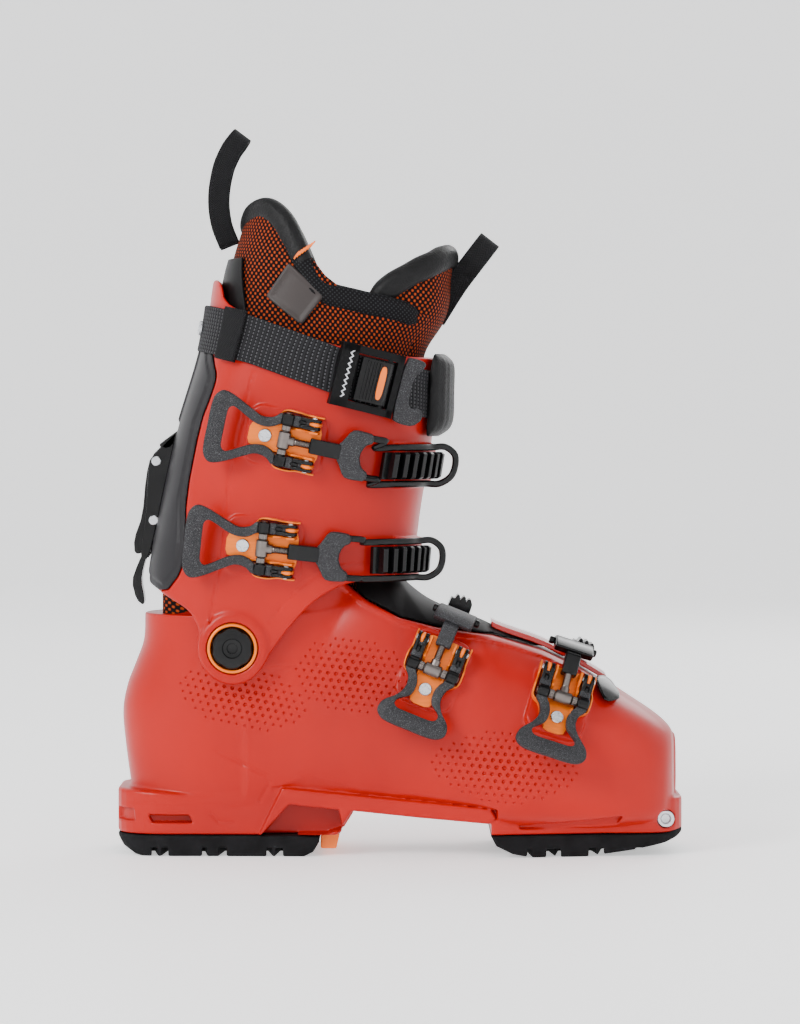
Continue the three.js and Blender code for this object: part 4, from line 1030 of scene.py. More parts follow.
LINER_TOP = [(150, 282), (132, 286), (116, 293), (92, 298), (74, 303), (60, 314), (48, 330), (36, 346),
             (22, 352), (8, 345),
             (2, 320), (-14, 318), (-30, 300)]


def liner():
    g = Grid((-48, -58, 34), (246, 62, 356), STEP * 1.5)
    cuff_tube = g.tube(CUFF)
    inner_foot = np.maximum(g.foot(), np.maximum(20 - g.X, g.X - 251))
    boot = smooth_min(smooth_min(inner_foot, g.tube(HEEL), 8),
                      np.where((g.Z > 100) & (g.Z < 175), g.tube(NECK), 60), 6)
    boot = np.maximum(boot + 5.8, g.side([(250, 88), (150, 102), (112, 114), (90, 128), (86, 168),
                                          (-60, 168), (-60, 20), (260, 20)]))
    shaft = np.maximum(cuff_tube + LINER + 0.6, 152 - g.Z)
    # Sewn panels: padding swells between the seams.
    quilt = 0.7 * np.cos(g.Z * 0.16 + g.X * 0.05) * np.clip((g.Z - 240) / 30, 0, 1)
    outer = smooth_min(boot, shaft + quilt * 0.6, 7)
    inner = smooth_min(boot + 6.2, shaft + 6.6, 7)
    body = smooth_max(outer, -inner, 2.0)
    body = smooth_max(body, g.side(LINER_TOP + [(-30, 30), (250, 30), (250, 200)]), 3.0)
    opening = np.maximum(84 - g.X, np.maximum(np.abs(g.Y) - 33, 150 - g.Z))
    body = smooth_max(body, -opening, 2.0)
    body = np.maximum(body, 35.2 - g.Z)
    points, quads = g.skin(body)
    obj = build("liner_shell", points, quads, MESH, None, "liner")
    tool = obj.modifiers.new("soft", "SMOOTH")
    tool.iterations, tool.factor = 4, 0.5
    with bpy.context.temp_override(object=obj, active_object=obj, selected_objects=[obj]):
        bpy.ops.object.modifier_apply(modifier="soft")
    knit_by_angle(obj)
    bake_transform(obj)
    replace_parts(obj, "liner_foot", "liner_shaft")


liner()


def roll(name, stations, width, height, material, offset, slot, count=90, wrinkle=0.5):
    """A padded tube that follows (angle, z) on the leg."""
    full = [(a, z) for a, z in stations] + [(-a, z) for a, z in reversed(stations) if a not in (0, 180)]
    if stations[0][0] in (0, 180):
        full = full[len(stations):] + full[:len(stations)]
    points = []
    for a, z in full:
        points.append(tube_point(z, -math.radians(a), offset(abs(a)) if callable(offset) else offset))
    path = spline(points, count)
    side = [(p - LEG) * (1, 1, 0) for p in path]

    def section(t):
        end = min(1.0, min(t, 1 - t) * 14 + 0.35)
        puff = 1 + 0.035 * math.sin(t * 57) * wrinkle
        return oval(width * end * puff, height * end, 16, 2.3)

    obj = build(name, *loft_mesh(swept(path, section, side=side)), material, "cuff", slot, subdivide=1)
    knit_by_angle(obj)
    obj.data.materials.append(KNIT)
    for face in obj.data.polygons:
        if face.center.z < 0.3225:
            face.material_index = 1
    return obj


roll("collar_roll", [(180, 343), (160, 348), (141, 350), (125, 343), (113, 330), (104, 317), (96, 306),
                     (81, 299.5), (64.6, 296),
                     (47.6, 292), (34, 286)], 11.5, 13.5, LEATHER, -11.5, "liner")


# ---- Patch and stitches on the liner's side ----
def patch():
    corners = [np.array(c, float) for c in ((37.8, 321.2), (58.8, 302.6), (45.6, 287), (24, 302.6))]
    count, rows_out, rows_in = 17, [], []
    for i in range(count):
        s = i / (count - 1)
        out, back = [], []
        for j in range(count):
            t = j / (count - 1)
            near, far = corners[0] * (1 - s) + corners[3] * s, corners[1] * (1 - s) + corners[2] * s
            x, z = near * (1 - t) + far * t
            edge = min(s, t, 1 - s, 1 - t)
            rise = 1.3 if edge < 0.08 else 0.6
            out.append(lateral_cuff(x, z, -LINER + rise))
            back.append(lateral_cuff(x, z, -LINER - 0.8))
        rows_out.append(out)
        rows_in.append(back)
    rings = [a + b[::-1] for a, b in zip(rows_out, rows_in)]
    build("liner_patch", *loft_mesh(rings), PATCH, "cuff", "liner", subdivide=1)
    stitches = []
    for k in range(7):
        x, z, rise = 41.5 + k * 1.5, 322.5 + k, 4 - k * 0.1
        path = spline([lateral_cuff(x + 3 * t, z + rise * t, -4.6 - abs(t - 0.5)) for t in (0, 0.5, 1)], 6)
        stitches.append(loft_mesh(swept(path, oval(0.9, 0.9, 8))))
    build("collar_stitches", *merged(*stitches), ORANGE, "cuff", "orange_plastic")


PATCH = plastic("patch_rubber", srgb(38, 30, 28), 0.5, grain=0.0001)
patch()

# ---- Tongue ----
TONGUE_TOP = [(0, 325), (15, 325), (35, 321), (53, 314), (65, 307), (76, 297)]
TONGUE_FOOT = 152 # the tongue is modelled from here up


def tongue():
    rows, columns = 46, 41
    outer, inner = [], []
    for i in range(rows):
        t = i / (rows - 1)
        row_out, row_in = [], []
        for j in range(columns):
            v = j / (columns - 1) * 2 - 1
            span = 34 + 38 * max(0, (t - 0.72) / 0.28) ** 1.2
            angle = math.radians(v * span)
            top = np.interp(abs(math.degrees(angle)), [a for a, _ in TONGUE_TOP],
                            [z for _, z in TONGUE_TOP])
            z = TONGUE_FOOT + (top - TONGUE_FOOT) * t
            tuck = -7.9 - 5.5 * max(0, abs(math.degrees(angle)) - 36) / 36
            pad = 0.7 * math.cos(z * 0.19) * (1 - abs(v) ** 3)
            edge = 1 - abs(v) ** 8
            row_out.append(tube_point(z, angle, tuck + pad - 1.5 * (1 - edge)))
            row_in.append(tube_point(z, angle, tuck - 8.2 + 2.0 * (1 - edge)))
        outer.append(row_out)
        inner.append(row_in)
    rings = [a + b[::-1] for a, b in zip(outer, inner)]
    obj = build("tongue_pad", *loft_mesh(rings), MESH, "cuff", "liner", subdivide=1)
    knit_by_angle(obj)
    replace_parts(obj, "liner_tongue")
    path = spline([tube_point(z, math.radians(a), -11.5 - 5.5 * max(0, abs(a) - 36) / 36)
                   for a, z in [(-a, z) for a, z in reversed(TONGUE_TOP)][:-1] + TONGUE_TOP], 70)
    side = [(p - LEG) * (1, 1, 0) for p in path]

    def section(t):
        end = min(1.0, min(t, 1 - t) * 9 + 0.3)
        return oval(12.5 * end, 14 * end * (1 + 0.03 * math.sin(t * 60)), 16, 2.2)

    lip = build("tongue_roll", *loft_mesh(swept(path, section, side=side)), LEATHER, "cuff", "liner",
                subdivide=1)


tongue()


# ---- Ribbons: webbing with its own length and width kept for the weave ----
def ribbon(name, path, width_axis, width, thick, material, body, slot, edge=0.35):
    path = np.asarray(path, float)
    length = np.concatenate([[0], np.cumsum(np.linalg.norm(np.diff(path, axis=0), axis=1))])
    w, h = width / 2, thick / 2
    half = [(-w, -h + edge), (-w + edge, -h)] + [(w * v, -h) for v in np.linspace(-0.85, 0.85,
            8)] + [(w - edge, -h), (w, -h + edge)]
    section = half + [(-u, -v) for u, v in half]
    rings = swept(path, section, side=width_axis)
    obj = build(name, *loft_mesh(rings), material, body, slot)
    label(obj, np.repeat(length, len(section)), np.tile([u + w for u, _ in section], len(path)))
    return obj


def label(obj, u, v):
    for name, values in (("along", u), ("across", v)):
        layer = obj.data.attributes.new(name, "FLOAT", "POINT")
        if len(values) == len(obj.data.vertices):
            layer.data.foreach_set("value", np.asarray(values, np.float32))


def loop(name, line, width, half, lean, node, thick=2.2):
    flat = spline([(x, z) for x, z in line], 22)
    tangent = np.gradient(flat, axis=0)
    tangent /= np.linalg.norm(tangent, axis=1)[:, None]
    across = np.column_stack([-tangent[:, 1], np.zeros(len(flat)), tangent[:, 0]])
    up = np.column_stack([flat[:, 0], np.full(len(flat), -half), flat[:, 1]])
    end, way = up[-1], np.array([tangent[-1, 0], 0, tangent[-1, 1]])
    bend = [end + np.array([0, half - half * math.cos(a), 0]) + way * lean * math.sin(a)
            for a in np.linspace(0, math.pi, 15)[1:-1]]
    down = up[::-1] * np.array([1, -1, 1])
    path = np.vstack([up, bend, down])
    sides = np.vstack([across, np.tile(across[-1], (len(bend), 1)), across[::-1]])
    obj = ribbon(name, path, sides, width, thick, WEBBING, "cuff", "webbing")
    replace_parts(obj, node)


loop("rear_loop", [(6.5, 332), (2, 344), (0.5, 358), (3, 374), (7.3, 384), (9.4, 387)], 11, 7.9, 6.5,
     "rear_pull_loop")
loop("front_loop", [(119, 292), (131, 311), (140, 323), (145, 329.5)], 12.5, 7.9, 6.5, "front_pull_loop")

# ---- Power strap ----
STRAP_LINE = [(-20, 302.5), (18.6, 293), (79.3, 271), (140, 258)]


def around(angle, share, offset, width=26, margin=0.0):
    z = 280.0
    for _ in range(5):
        x = tube_point(z, angle, offset)[0]
        top = np.interp(x, [p[0] for p in STRAP_LINE], [p[1] for p in STRAP_LINE])
        z = top + margin - share * (width + 2 * margin)
    return tube_point(z, angle, offset)


def wrap(name, angles, low, high, material, slot, node=None, margin=0.0, body="cuff", closed=False,
         wavy=0.0):
    rings, us, vs = [], [], []
    shares = [0.0, 0.03, 0.2, 0.4, 0.6, 0.8, 0.97, 1.0]
    run, last = 0.0, None
    for a in angles:
        outer = [around(a, s, high - (0.5 if s in (0.0, 1.0) else 0) + wavy * math.sin(a * 9 + s * 2),
                        margin=margin) for s in shares]
        inner = [around(a, s, low, margin=margin) for s in reversed(shares)]
        rings.append(outer + inner)
        run += 0 if last is None else np.linalg.norm(outer[0] - last)
        last = outer[0]
        us += [run] * (2 * len(shares))
        vs += [26 * s for s in shares] + [26 * s for s in reversed(shares)]
    obj = build(name, *loft_mesh(rings, caps=not closed, wrap=closed), material, body, slot)
    label(obj, us, vs)
    if node:
        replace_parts(obj, node)
    return obj


wrap("strap_band", np.linspace(0, 2 * np.pi, 260, endpoint=False), 0.4, 2.9, STRAP, "strap", "power_strap",
     closed=True, wavy=0.08)
keeper_angles = [-math.radians(a) for a in np.linspace(124, 138, 12)]
wrap("strap_loop", keeper_angles, 3.25, 5.2, WEBBING, "webbing", "strap_keeper", margin=1.6)


def strap_pad():
    rings, levels = [], np.linspace(0, 1, 15)
    for v in np.linspace(-34, 30, 27):
        row = []
        puff = (1 - abs((v + 2) / 33) ** 4) ** 0.6 if abs((v + 2) / 33) < 1 else 0.0
        for face in (0, 1):
            for s in (levels if face == 0 else levels[::-1]):
                z = 227.5 + 45 * s
                half = along(CUFF, z)[0][2]
                square = along(CUFF, z)[0][3]
                share = min(0.98, abs(v) / half) ** (square / 2)
                a = math.copysign(math.asin(share), v)
                edge = (1 - abs(2 * s - 1) ** 5) ** 0.6
                rib = 0.7 * math.cos(v * 1.4)
                depth = 3.4 + (7.6 + rib) * puff * edge if face == 0 else 3.2
                row.append(tube_point(z, a, depth))
        rings.append(row)
    obj = build("shin_pad", *loft_mesh(rings), LEATHER, "cuff", "strap_pad", subdivide=1)
    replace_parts(obj, "strap_pad")


strap_pad()
rivet_at = frame_on(lateral_cuff, -5, 286, 0)
rivet = build("strap_stud", *lathe([(0.2, 4.6), (1.6, 4.9), (2.0, 4.2), (2.4, 4.9), (3.4, 4.9), (4.1, 4.3),
                                    (4.1, 3.3), (0.2, 3.3)],
                                   np.zeros(3), "z", 28), STEEL, "cuff", "steel", matrix=rivet_at, auto=35)
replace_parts(rivet, "strap_rivet")


# ---- Strap lock ----
STRAP_AT = frame_on(lateral_cuff, 82, 258, -14)


def plate_piece(name, points, low, high, material, body, slot, matrix, bevel=0.6, times=1, node=None):
    obj = build(name, *extruded(rounded(points, times) if times else points, low, high), material, body,
                slot, matrix=matrix, bevel=bevel)
    if node:
        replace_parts(obj, node)
    return obj


frame_parts = []
for sign in (-1, 1):
    frame_parts.append(extruded([(-19, sign * 17), (16, sign * 17), (16, sign * 12.9), (-19, sign * 12.9)],
                                3.6, 8.4))
frame_parts.append(extruded([(-19, -17), (-9.4, -17), (-9.4, 17), (-19, 17)], 3.6, 8.4))
frame_parts.append(extruded([(12.6, -17), (16, -17), (16, 17), (12.6, 17)], 3.6, 8.4))
frame_parts.append(rod(1.3, -14.6, 14.6, 8.6, 7.2, 14, 0.2))
lock = build("lock_frame", *merged(*frame_parts), BLACK_SOFT, "cuff", "black_plastic", matrix=STRAP_AT,
             bevel=0.5)
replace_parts(lock, "strap_frame")
cam = [extruded([(-7, 5.8), (-5, 5.2), (7.6, 5.2), (10.8, 6.2), (10.8, 8.4), (8.6, 10.2), (-4, 10.5),
                 (-7, 9.6)], -11.6, 11.6, 1)]
for x in np.linspace(-4.5, 2.5, 5):
    cam.append(extruded([(x, 10.3), (x + 0.3, 11.1), (x + 0.9, 11.1), (x + 1.1, 10.3)], -10.4, 10.4, 1))
cam_obj = build("lock_cam", *merged(*cam), BLACK, "strap_cam", "black_plastic", matrix=STRAP_AT, bevel=0.5)
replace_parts(cam_obj, "strap_cam")
plate_piece("lock_plate", [(3.6, -9), (7.4, -9), (7.4, 9), (3.6, 9)], 10.0, 10.9, ORANGE, "strap_cam",
            "orange_plastic",
                        STRAP_AT, 0.3, 2)
plate_piece("lock_hook", [(16.6, -17), (22, -18.6), (29, -18.4), (33.4, -14), (32.6, -9.5), (29.4, -8),
                          (26, -9.4), (23.6, -7),
                          (23.2, 4), (24.2, 9), (27.4, 12.4), (28.6, 16.2), (24, 17.4), (16.6, 17)],
            3.9, 7.8, LEVER, "cuff", "lever_metal", STRAP_AT, 0.7, 1, "strap_hook")
zig = []
for i in range(9):
    y = -12 + i * 3
    zig += [(-13.6, y), (-12.0, y + 1.5)]
zig = zig + [(x - 1.0, y) for x, y in reversed(zig)]
plate_piece("lock_teeth", zig, 8.3, 8.8, STEEL, "cuff", "steel", STRAP_AT, 0.1, 0)

# ---- Buckles ----
SCREW, PIN, HINGE, HINGE_Z, PIN_Z = -12, -1.5, 12.5, 6.6, 6.2


def cross_recess(name, matrix, x, z, radius, body):
    """A screw head with a cross in it."""
    turn = np.linspace(0, 2 * np.pi, 48, endpoint=False)
    cross = 0.42 * radius / np.maximum(np.minimum(np.abs(np.cos(turn)), np.abs(np.sin(turn))) + 0.32, 0.45)
    rings = []
    for r, h in ((radius, -1.2), (radius, -0.3), (radius * 0.9, 0.05)):
        rings.append(np.column_stack([x + r * np.cos(turn), r * np.sin(turn), np.full(48, z + h)]))
    for k, h in ((1.0, 0.05), (0.9, -0.9)):
        rings.append(np.column_stack([x + k * cross * np.cos(turn), k * cross * np.sin(turn),
                                      np.full(48, z + h)]))
    obj = build(name, *loft_mesh(rings), STEEL, body, "steel", matrix=matrix, auto=30)
    return obj


def lever(number, spec):
    at, loop_, spread = spec["at"], spec["loop"], spec["spread"]
    end = SCREW - loop_
    outer = [(end, 0), (end, spread * 0.5), (end + 1, spread - 4), (end + 4.5, spread - 0.5),
             (end + 10, spread - 1.4),
             (SCREW - 9, 12.8), (SCREW - 3, 10.2), (SCREW + 3, 11.2), (PIN - 4, 14.0), (PIN + 3, 14.2),
             (HINGE - 2, 14.2)]
    inner = [(end + 9, 0), (end + 9, spread * 0.3), (end + 9.4, spread - 9.6), (end + 11.4, spread - 7.8),
             (end + 14.5, spread - 8.8),
             (SCREW - 6.5, 6.0), (SCREW, 5.0), (SCREW + 4.4, 6.4), (PIN - 3.4, 8.2), (PIN + 3, 8.3),
             (HINGE - 2, 8.3)]
    o, i = spline(outer, 44), spline(inner, 44)
    o = np.vstack([o[::-1] * (1, -1), o[1:]])
    i = np.vstack([i[::-1] * (1, -1), i[1:]])

    def height(x):
        return float(np.interp(x, (end, end + 6, SCREW - 10, SCREW, PIN, HINGE),
                               (7.4, 7.0, 6.4, 5.2, 6.2, 6.6)))

    rings = []
    for (ox, oy), (ix, iy) in zip(o, i):
        zo, zi = height(ox), height(ix)
        t = 1.7
        m = 0.5 * (np.array((ox, oy)) + (ix, iy))
        cut = 0.16
        oo, ii = np.array((ox, oy)) * (1 - cut) + m * cut, np.array((ix, iy)) * (1 - cut) + m * cut
        rings.append([(ox, oy, zo + t - 0.5), (*oo, zo + t), (*ii, zi + t), (ix, iy, zi + t - 0.5),
                      (ix, iy, zi - t + 0.5), (*ii, zi - t), (*oo, zo - t), (ox, oy, zo - t + 0.5)])
    name = f"lever_{number}"
    obj = build(f"buckle_{number}_lever", *loft_mesh(rings), LEVER, name, "lever_metal", matrix=at, auto=50)
    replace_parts(obj, f"lever_{number}")
    fork, black = [], []
    for sign in (-1, 1):
        for y0, y1 in ((8.3, 10.3), (12.6, 14.3)):
            tab = rounded([(HINGE - 8, 4.4), (HINGE - 1, 3.4), (HINGE + 3.2, 3.9), (HINGE + 4.2, 5.8),
                           (HINGE + 2.6, 9.6), (HINGE - 2, 10.2),
                           (HINGE - 8, 8.6)], 1)
            fork.append(extruded(tab, *sorted((sign * y0, sign * y1)), 1))
        low, high = sorted((sign * 8.0, sign * 14.5))
        black.append(rod(3.8, low, high, PIN, PIN_Z, 24, 0.7))
        low, high = sorted((sign * 10.4, sign * 12.4))
        black.append(rod(2.9, low, high, HINGE - 6, 6.2, 20, 0.4))
    build(f"buckle_{number}_fork", *merged(*fork), BLACK, name, "lever_metal", matrix=at, bevel=0.35)
    rollers = [rod(2.5, *sorted((sign * 10.35, sign * 12.55)), HINGE + 0.6, 7.4, 20, 0.5) for sign in (-1,
            1)]
    build(f"buckle_{number}_rollers", *merged(*rollers), ORANGE, name, "orange_plastic", matrix=at, auto=40)
    build(f"buckle_{number}_knuckles", *merged(*black), BLACK, name, "lever_metal", matrix=at, auto=40)
    pin = []
    for sign in (-1, 1):
        low, high = sorted((sign * 4.9, sign * 8.1))
        turn = np.linspace(0, 2 * np.pi, 40, endpoint=False)
        r = 2.35 + 0.14 * np.sign(np.cos(turn * 12))
        pin.append(loft_mesh([np.column_stack([PIN + k * r * np.cos(turn), np.full(40, y),
                                               PIN_Z + k * r * np.sin(turn)])
                              for y, k in ((low, 0.8), (low + 0.4, 1), (high - 0.4, 1), (high, 0.8))]))
    pin.append(rod(1.65, -14.8, 14.8, PIN, PIN_Z, 18, 0.3))
    obj = build(f"buckle_{number}_pin", *merged(*pin), DARK_STEEL, name, "steel", matrix=at, auto=40)
    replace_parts(obj, f"lever_pin_{number}")


def base(number, spec):
    at, body = spec["at"], spec["body"]
    floor = [(-21, -5.4), (-16, -6.8), (-6, -6.8), (5, -7.4), (8, -12), (17.5, -12.2), (17.5, 12.2),
             (8, 12), (5, 7.4), (-6, 6.8), (-16, 6.8),
             (-21, 5.4)]
    parts = [extruded(rounded(floor, 1), 0.55, 2.1)]
    for sign in (-1, 1):
        rim_top = [(-8, 1.8), (-4, 3.4), (0, 3.0), (4, 7.4), (8, 5.4), (11, 8.8), (15.4, 8.6), (17, 1.0),
                   (-8, 1.0)]
        parts.append(extruded(rim_top, *sorted((sign * 6.3, sign * 7.6)), 1))
        ear = rounded([(8, 1), (17, 1), (16.2, 7.4), (14, 9.3), (11.2, 9.2), (9, 7)], 1)
        parts.append(extruded(ear, *sorted((sign * 10.6, sign * 12.2)), 1))
    # Wavy side walls, outside the lever's arms.
    for sign in (-1, 1):
        wall = [(-13, 8.6), (-8, 10.4), (-4, 14.9), (4, 15.4), (8, 14.8), (17.6, 14.9)]
        curve = spline(wall, 26)
        rings = [[(x, sign * y, 0.6), (x, sign * y, 4.4 + 1.0 * math.sin(x * 0.55)),
                  (x, sign * (y + 0.9), 4.4 + 1.0 * math.sin(x * 0.55)),
                  (x, sign * (y + 0.9), 0.6)] for x, y in curve]
        parts.append(loft_mesh(rings))
    obj = build(f"buckle_{number}_base", *merged(*parts), ANODISED, body, "orange_metal", matrix=at,
                bevel=0.25)
    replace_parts(obj, f"base_{number}")
    studs = []
    for sign in (-1, 1):
        low, high = sorted((sign * 7.7, sign * 15.0))
        studs.append(rod(1.4, low, high, HINGE, HINGE_Z, 18, 0.3))
    build(f"buckle_{number}_studs", *merged(*studs), STEEL, body, "steel", matrix=at, auto=40)
    screw = cross_recess(f"buckle_{number}_screw", at, SCREW, 3.5, 3.5, body)
    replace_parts(screw, f"screw_{number}")


def shank(length):
    barrel = rod(3.4, -4.7, 4.7, PIN, PIN_Z, 24, 0.6)
    profile = [(0.1, PIN + 2), (2.6, PIN + 2), (2.6, PIN + 5.4), (2.0, PIN + 6)]
    for k in range(int((length - 7) / 0.9)):
        x = PIN + 6.4 + 0.9 * k
        profile += [(2.15, x), (1.8, x + 0.45)]
    profile += [(2.0, PIN + length), (0.1, PIN + length)]
    return merged(barrel, lathe(profile, np.array([0, 0, PIN_Z]), "x", 18))


def wire_hook(number, spec):
    at, z, half = spec["at"], CATCHES[number], 7.3
    inverse = np.linalg.inv(at)
    body = f"hook_{number}"
    build(f"{body}_rod", *shank(16), DARK_STEEL, body, "lever_metal", matrix=at, auto=40)
    build(f"{body}_block", *extruded([(12.4, 3.5), (13.4, 2.8), (28, 3.2), (30, 8.6), (28.6, 9.0),
                                      (13.4, 9.0), (12.4, 8)], -4.1, 4.1, 1),
          BLACK, body, "black_metal", matrix=at, bevel=0.7)
    plan = [(27.6, -4), (29.4, -6.2), (33, -12.6), (37, -13.4), (45.5, -12.6), (45.5, -8), (41.5, -6),
            (39.4, 0), (41.5, 6), (45.5, 8),
            (45.5, 12.6), (37, 13.4), (33, 12.6), (29.4, 6.2), (27.6, 4)]
    top = build(f"{body}_yoke", *extruded(rounded(plan, 1), 3.5, 8.8), LEVER, body, "lever_metal",
                matrix=at, bevel=1.1)
    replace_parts(top, f"hook_{number}")

    def local(point):
        return (inverse @ np.append(point, 1))[:3]

    reach = half + 2.5
    left = [(40, 10.4, 6.2), (47, 10.6, 6.0),
            (52, 10.4, 5)] + [local(tube_point(z + reach, a, 8.0)) for a in (-1.15, -0.95, -0.8, -0.65,
                    -0.5)]
    left += [local(tube_point(z + reach, -0.38, 12.4))]
    right = [(40, -10.4, 6.2), (47, -10.6, 6.0),
             (52, -10.4, 5)] + [local(tube_point(z - reach, a, 8.0)) for a in (-1.15, -0.95, -0.8, -0.65,
                     -0.5)]
    right += [local(tube_point(z - reach, -0.38, 12.4))]
    path = spline(left + [local(tube_point(z + 5, -0.33, 17.3)),
                          local(tube_point(z - 5, -0.33, 17.3))] + right[::-1], 110)
    build(f"{body}_wire", *loft_mesh(swept(path, oval(3.6, 2.6, 12, 3.6))), BLACK, body, "black_metal",
          matrix=at)


def bar_hook(number, spec, reach, drop):
    at, body = spec["at"], f"hook_{number}"
    build(f"{body}_rod", *shank(16), DARK_STEEL, body, "lever_metal", matrix=at, auto=40)
    side = [(12.4, 3.7), (12.4, 8.4), (15, 9.0), (24, 9.3), (reach, 9.2 - drop), (reach - 2, 4.4 - drop),
            (23, 4.2)]
    build(f"{body}_neck", *extruded(side, -4.2, 4.2, 1), BLACK if number == 1 else LEVER, body,
                  "black_metal", matrix=at, bevel=0.8)
    wide = [(25.5, 4.6 - drop * 0.06), (26.5, 8.9), (31, 8.4 - drop * 0.25), (reach, 9.4 - drop),
            (reach + 1.8, 5.4 - drop), (reach - 2, 3.8 - drop)]
    bar = build(f"{body}_bar", *extruded(wide, -10.8, 10.8, 1), BLACK if number == 1 else LEVER, body,
                "lever_metal", matrix=at, bevel=1.0)
    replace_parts(bar, f"hook_{number}")
    pins = [rod(2.1, *sorted((s * 10.6, s * 13.4)), reach - 2.5, 6.6 - drop, 18, 0.5) for s in (-1, 1)]
    build(f"{body}_lugs", *merged(*pins), BLACK, body, "black_metal", matrix=at, auto=40)


def front_catch(number, z, half):
    """A row of fins on the front of the cuff."""
    fins, angles = [], np.linspace(-0.98, -0.40, 7)
    for a in angles:
        for lift0, lift1, wide in ((4.3, 6.4, 0.052), (6.2, 12.6, 0.027)):
            rows = []
            for level in (z - half, z - half + 1.2, z + half - 1.2, z + half):
                top = lift1 - (1.4 if level in (z - half, z + half) else 0)
                rows.append([tube_point(level, a - wide, lift0), tube_point(level, a + wide, lift0),
                             tube_point(level, a + wide * 0.8, top),
                             tube_point(level, a - wide * 0.8, top)])
            fins.append(loft_mesh(rows))
    rows = []
    for level in (z - half, z + half):
        rows.append([tube_point(level, a, 4.3) for a in np.linspace(-1.04, -0.36, 14)]
                    + [tube_point(level, a, 7.2) for a in np.linspace(-0.36, -1.04, 14)])
    fins.append(loft_mesh(rows))
    obj = build(f"catch_{number}_ladder", *merged(*fins), BLACK, "cuff", "black_metal", bevel=0.3)
    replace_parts(obj, f"catch_{number}")


def instep_catch(number, x, z, slope):
    s, c = math.sin(math.radians(slope)), math.cos(math.radians(slope))
    teeth = [(-6.4, 0), (6.4, 0), (6.2, 5.4), (4.6, 8), (3.2, 7.8), (2.6, 5.6), (1.4, 8.4), (0.0, 8.2),
             (-0.8, 5.6), (-2.0, 8.2), (-3.4, 8),
             (-4.0, 5.6), (-6.0, 6)]
    turned = [(x + u * c - v * s, z + u * s + v * c) for u, v in teeth]
    obj = build(f"catch_{number}_rack", *extruded(turned, -8, 10, 1), BLACK, "shell", "black_metal",
                bevel=0.5)
    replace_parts(obj, f"catch_{number}")


for number, spec in BUCKLES.items():
    lever(number, spec)
    base(number, spec)
wire_hook(3, BUCKLES[3])
wire_hook(4, BUCKLES[4])
bar_hook(1, BUCKLES[1], 37, 9)
bar_hook(2, BUCKLES[2], 36, 12)
front_catch(3, 161.5, 7.3)
front_catch(4, 212, 7.3)
instep_catch(1, 199, foot_point(199, math.pi / 2)[2] + 6.1, -24)
instep_catch(2, 132, foot_point(132, math.pi / 2)[2] + 1.4, -20)

# ---- Walk mechanism ----
def side_piece(name, points, half, material, body, slot, node=None, bevel=0.6, times=1, extra=()):
    parts = [extruded(rounded(points, times) if times else points, -half, half, 1), *extra]
    obj = build(name, *merged(*parts), material, body, slot, bevel=bevel)
    if node:
        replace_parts(obj, node)
    return obj


cheek = [(-22, 231), (-27, 226), (-37, 216), (-38.4, 204), (-39.2, 184), (-43, 161), (-38, 160), (-34, 176),
         (-29, 200), (-24, 222)]
for tag, low, high in (("a", -9, -6.7), ("b", 6.7, 9)):
    build(f"walk_cheek_{tag}", *extruded(rounded(cheek, 1), low, high, 1), BLACK, "cuff", "black_plastic",
          bevel=0.6)
bridge = build("walk_bridge", *extruded(rounded([(-20, 232), (-27.6, 226.6), (-33, 222.4), (-27, 220),
                                                 (-21, 226)], 1), -9, 9, 1), BLACK, "cuff",
               "black_plastic", bevel=0.6)
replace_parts(bridge, "walk_housing")
side_piece("walk_arm", [(-30.5, 218.3), (-36.8, 217), (-39.5, 206), (-41.5, 184), (-46.3, 171),
                        (-45.8, 162.6), (-41, 163.6), (-40.4, 172),
                        (-37.6, 187), (-34.5, 203), (-30.6, 209)], 6.2, BLACK, "walk_lever",
           "black_plastic", "walk_lever", 0.8)
side_piece("walk_claw", [(-33, 184), (-37, 184), (-38.4, 176), (-39.8, 166), (-44, 158), (-47.5, 148),
                         (-45, 138), (-41, 134.5),
                         (-40.2, 138), (-42.2, 148), (-41, 156), (-37.5, 166), (-34.6, 174)], 6.2, BLACK,
           "walk_hook", "black_plastic",
           "walk_hook", 0.7)
for node, x, z in (("walk_lever_pin", -33.5, 214), ("walk_hook_pin", -35, 181.6)):
    pin = build(f"{node}_head", *merged(rod(2.6, -10.2, -9.1, x, z, 20, 0.3),
                                        rod(2.6, 9.1, 10.2, x, z, 20, 0.3),
                                        rod(1.7, -9.4, 9.4, x, z, 14, 0.1)),
                STEEL, "cuff", "steel", auto=40)
    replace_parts(pin, node)

# ---- Spoiler: a thin sheet behind the leg ----
rings = []
for s in np.linspace(0, 1, 9):
    z = 276 + 48 * s
    row = [tube_point(z, a, -5.0) for a in np.linspace(math.pi - 0.95 + 0.35 * s, math.pi + 0.95 - 0.35 * s,
                                                       19)]
    row += [tube_point(z, a, -6.3) for a in np.linspace(math.pi + 0.95 - 0.35 * s,
                                                        math.pi - 0.95 + 0.35 * s, 19)]
    rings.append(row)
spoiler = build("rear_spoiler", *loft_mesh(rings), BLACK_SOFT, "cuff", "black_plastic", bevel=0.3)
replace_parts(spoiler, "spoiler")

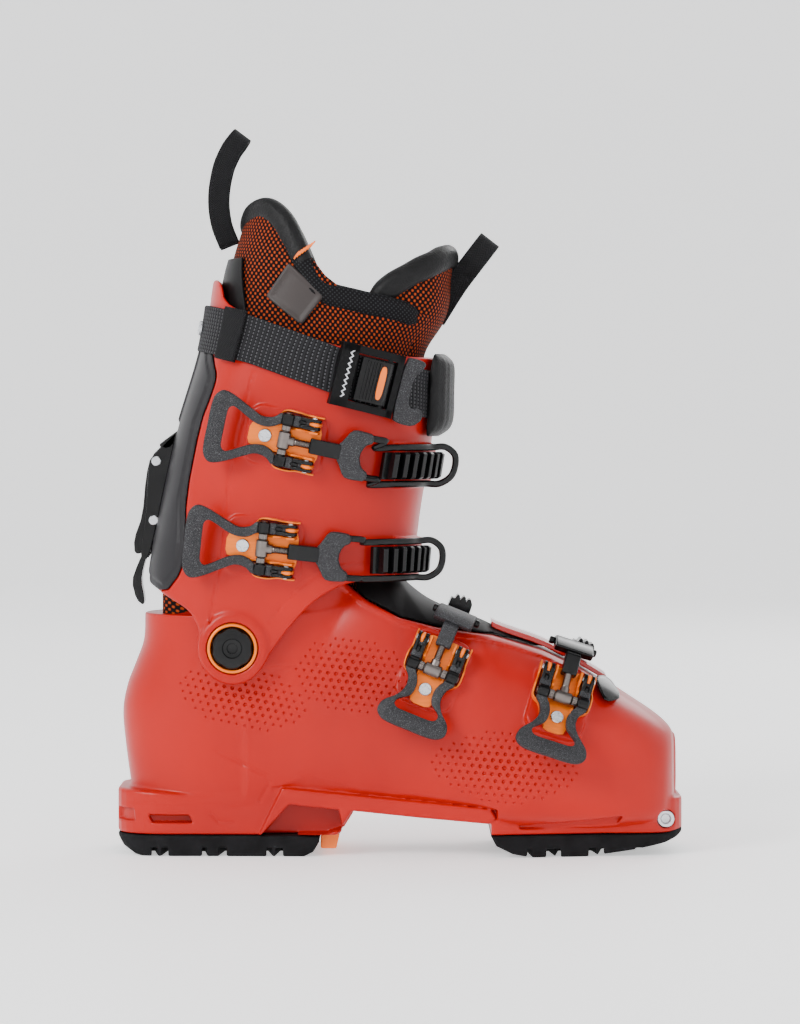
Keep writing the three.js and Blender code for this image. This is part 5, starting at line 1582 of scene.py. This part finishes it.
# ---- Floor, light, camera ----
def stage():
    # A round floor that curves up into a wall on every side.
    rings = [(0.02, 0), (1, 0), (3, 0)] + [(3 + 4 * math.sin(a),
                                            4 - 4 * math.cos(a)) for a in np.linspace(0.1, 1.5,
                                                    14)] + [(7.1, 9)]
    points, faces = loft_mesh([[(r * math.cos(a), r * math.sin(a), z) for a in np.linspace(0, 2 * math.pi,
            96, endpoint=False)]
                               for r, z in rings], caps=False)
    mesh = bpy.data.meshes.new("floor")
    mesh.from_pydata(points.tolist(), [], faces + [tuple(range(95, -1, -1))])
    mesh.polygons.foreach_set("use_smooth", [True] * len(mesh.polygons))
    floor = bpy.data.objects.new("floor", mesh)
    bpy.context.scene.collection.objects.link(floor)
    paint = Paint("pale_floor", 0.55, specular=0.3)
    paint.color(paint.noise(1.5, 2), [(0.3, (0.9, 0.9, 0.905, 1)), (0.7, (0.93, 0.93, 0.935, 1))])
    paint.shader.inputs["Emission Color"].default_value = (1, 1, 1, 1)
    paint.shader.inputs["Emission Strength"].default_value = 0.62
    mesh.materials.append(paint.material)
    world = bpy.data.worlds.new("studio")
    world.use_nodes = True
    world.node_tree.nodes["Background"].inputs["Color"].default_value = (0.97, 0.975, 0.98, 1)
    world.node_tree.nodes["Background"].inputs["Strength"].default_value = 0.14
    bpy.context.scene.world = world
    target = Vector((0, 0, 0.18))
    for name, at, size, power in (("key", (-1.3, -1.4, 1.2), 0.7, 36), ("fill", (1.6, -1.3, 0.7), 1.2, 2.5),
                                  ("top", (0.1, 0.0, 1.9), 1.0, 8),
                                  ("back", (0.9, 1.6, 1.2), 1.0, 14)):
        lamp = bpy.data.lights.new(name, "AREA")
        lamp.energy, lamp.size = power, size
        obj = bpy.data.objects.new(name, lamp)
        bpy.context.scene.collection.objects.link(obj)
        obj.location = at
        obj.rotation_euler = (target - Vector(at)).to_track_quat("-Z", "Y").to_euler()
    view = bpy.data.cameras.new("camera")
    camera = bpy.data.objects.new("camera", view)
    bpy.context.scene.collection.objects.link(camera)
    view.lens, view.sensor_width, view.sensor_fit = 120, 36, "AUTO"
    reach, rise = 0.565 * 120 / 36, math.radians(1.6)
    aim = Vector((0, 0, 0.186))
    camera.location = aim + Vector((0, -math.cos(rise), math.sin(rise))) * (reach - 0.01)
    camera.rotation_euler = (aim - camera.location).to_track_quat("-Z", "Y").to_euler()
    bpy.context.scene.camera = camera


stage()
bpy.context.view_layer.update()
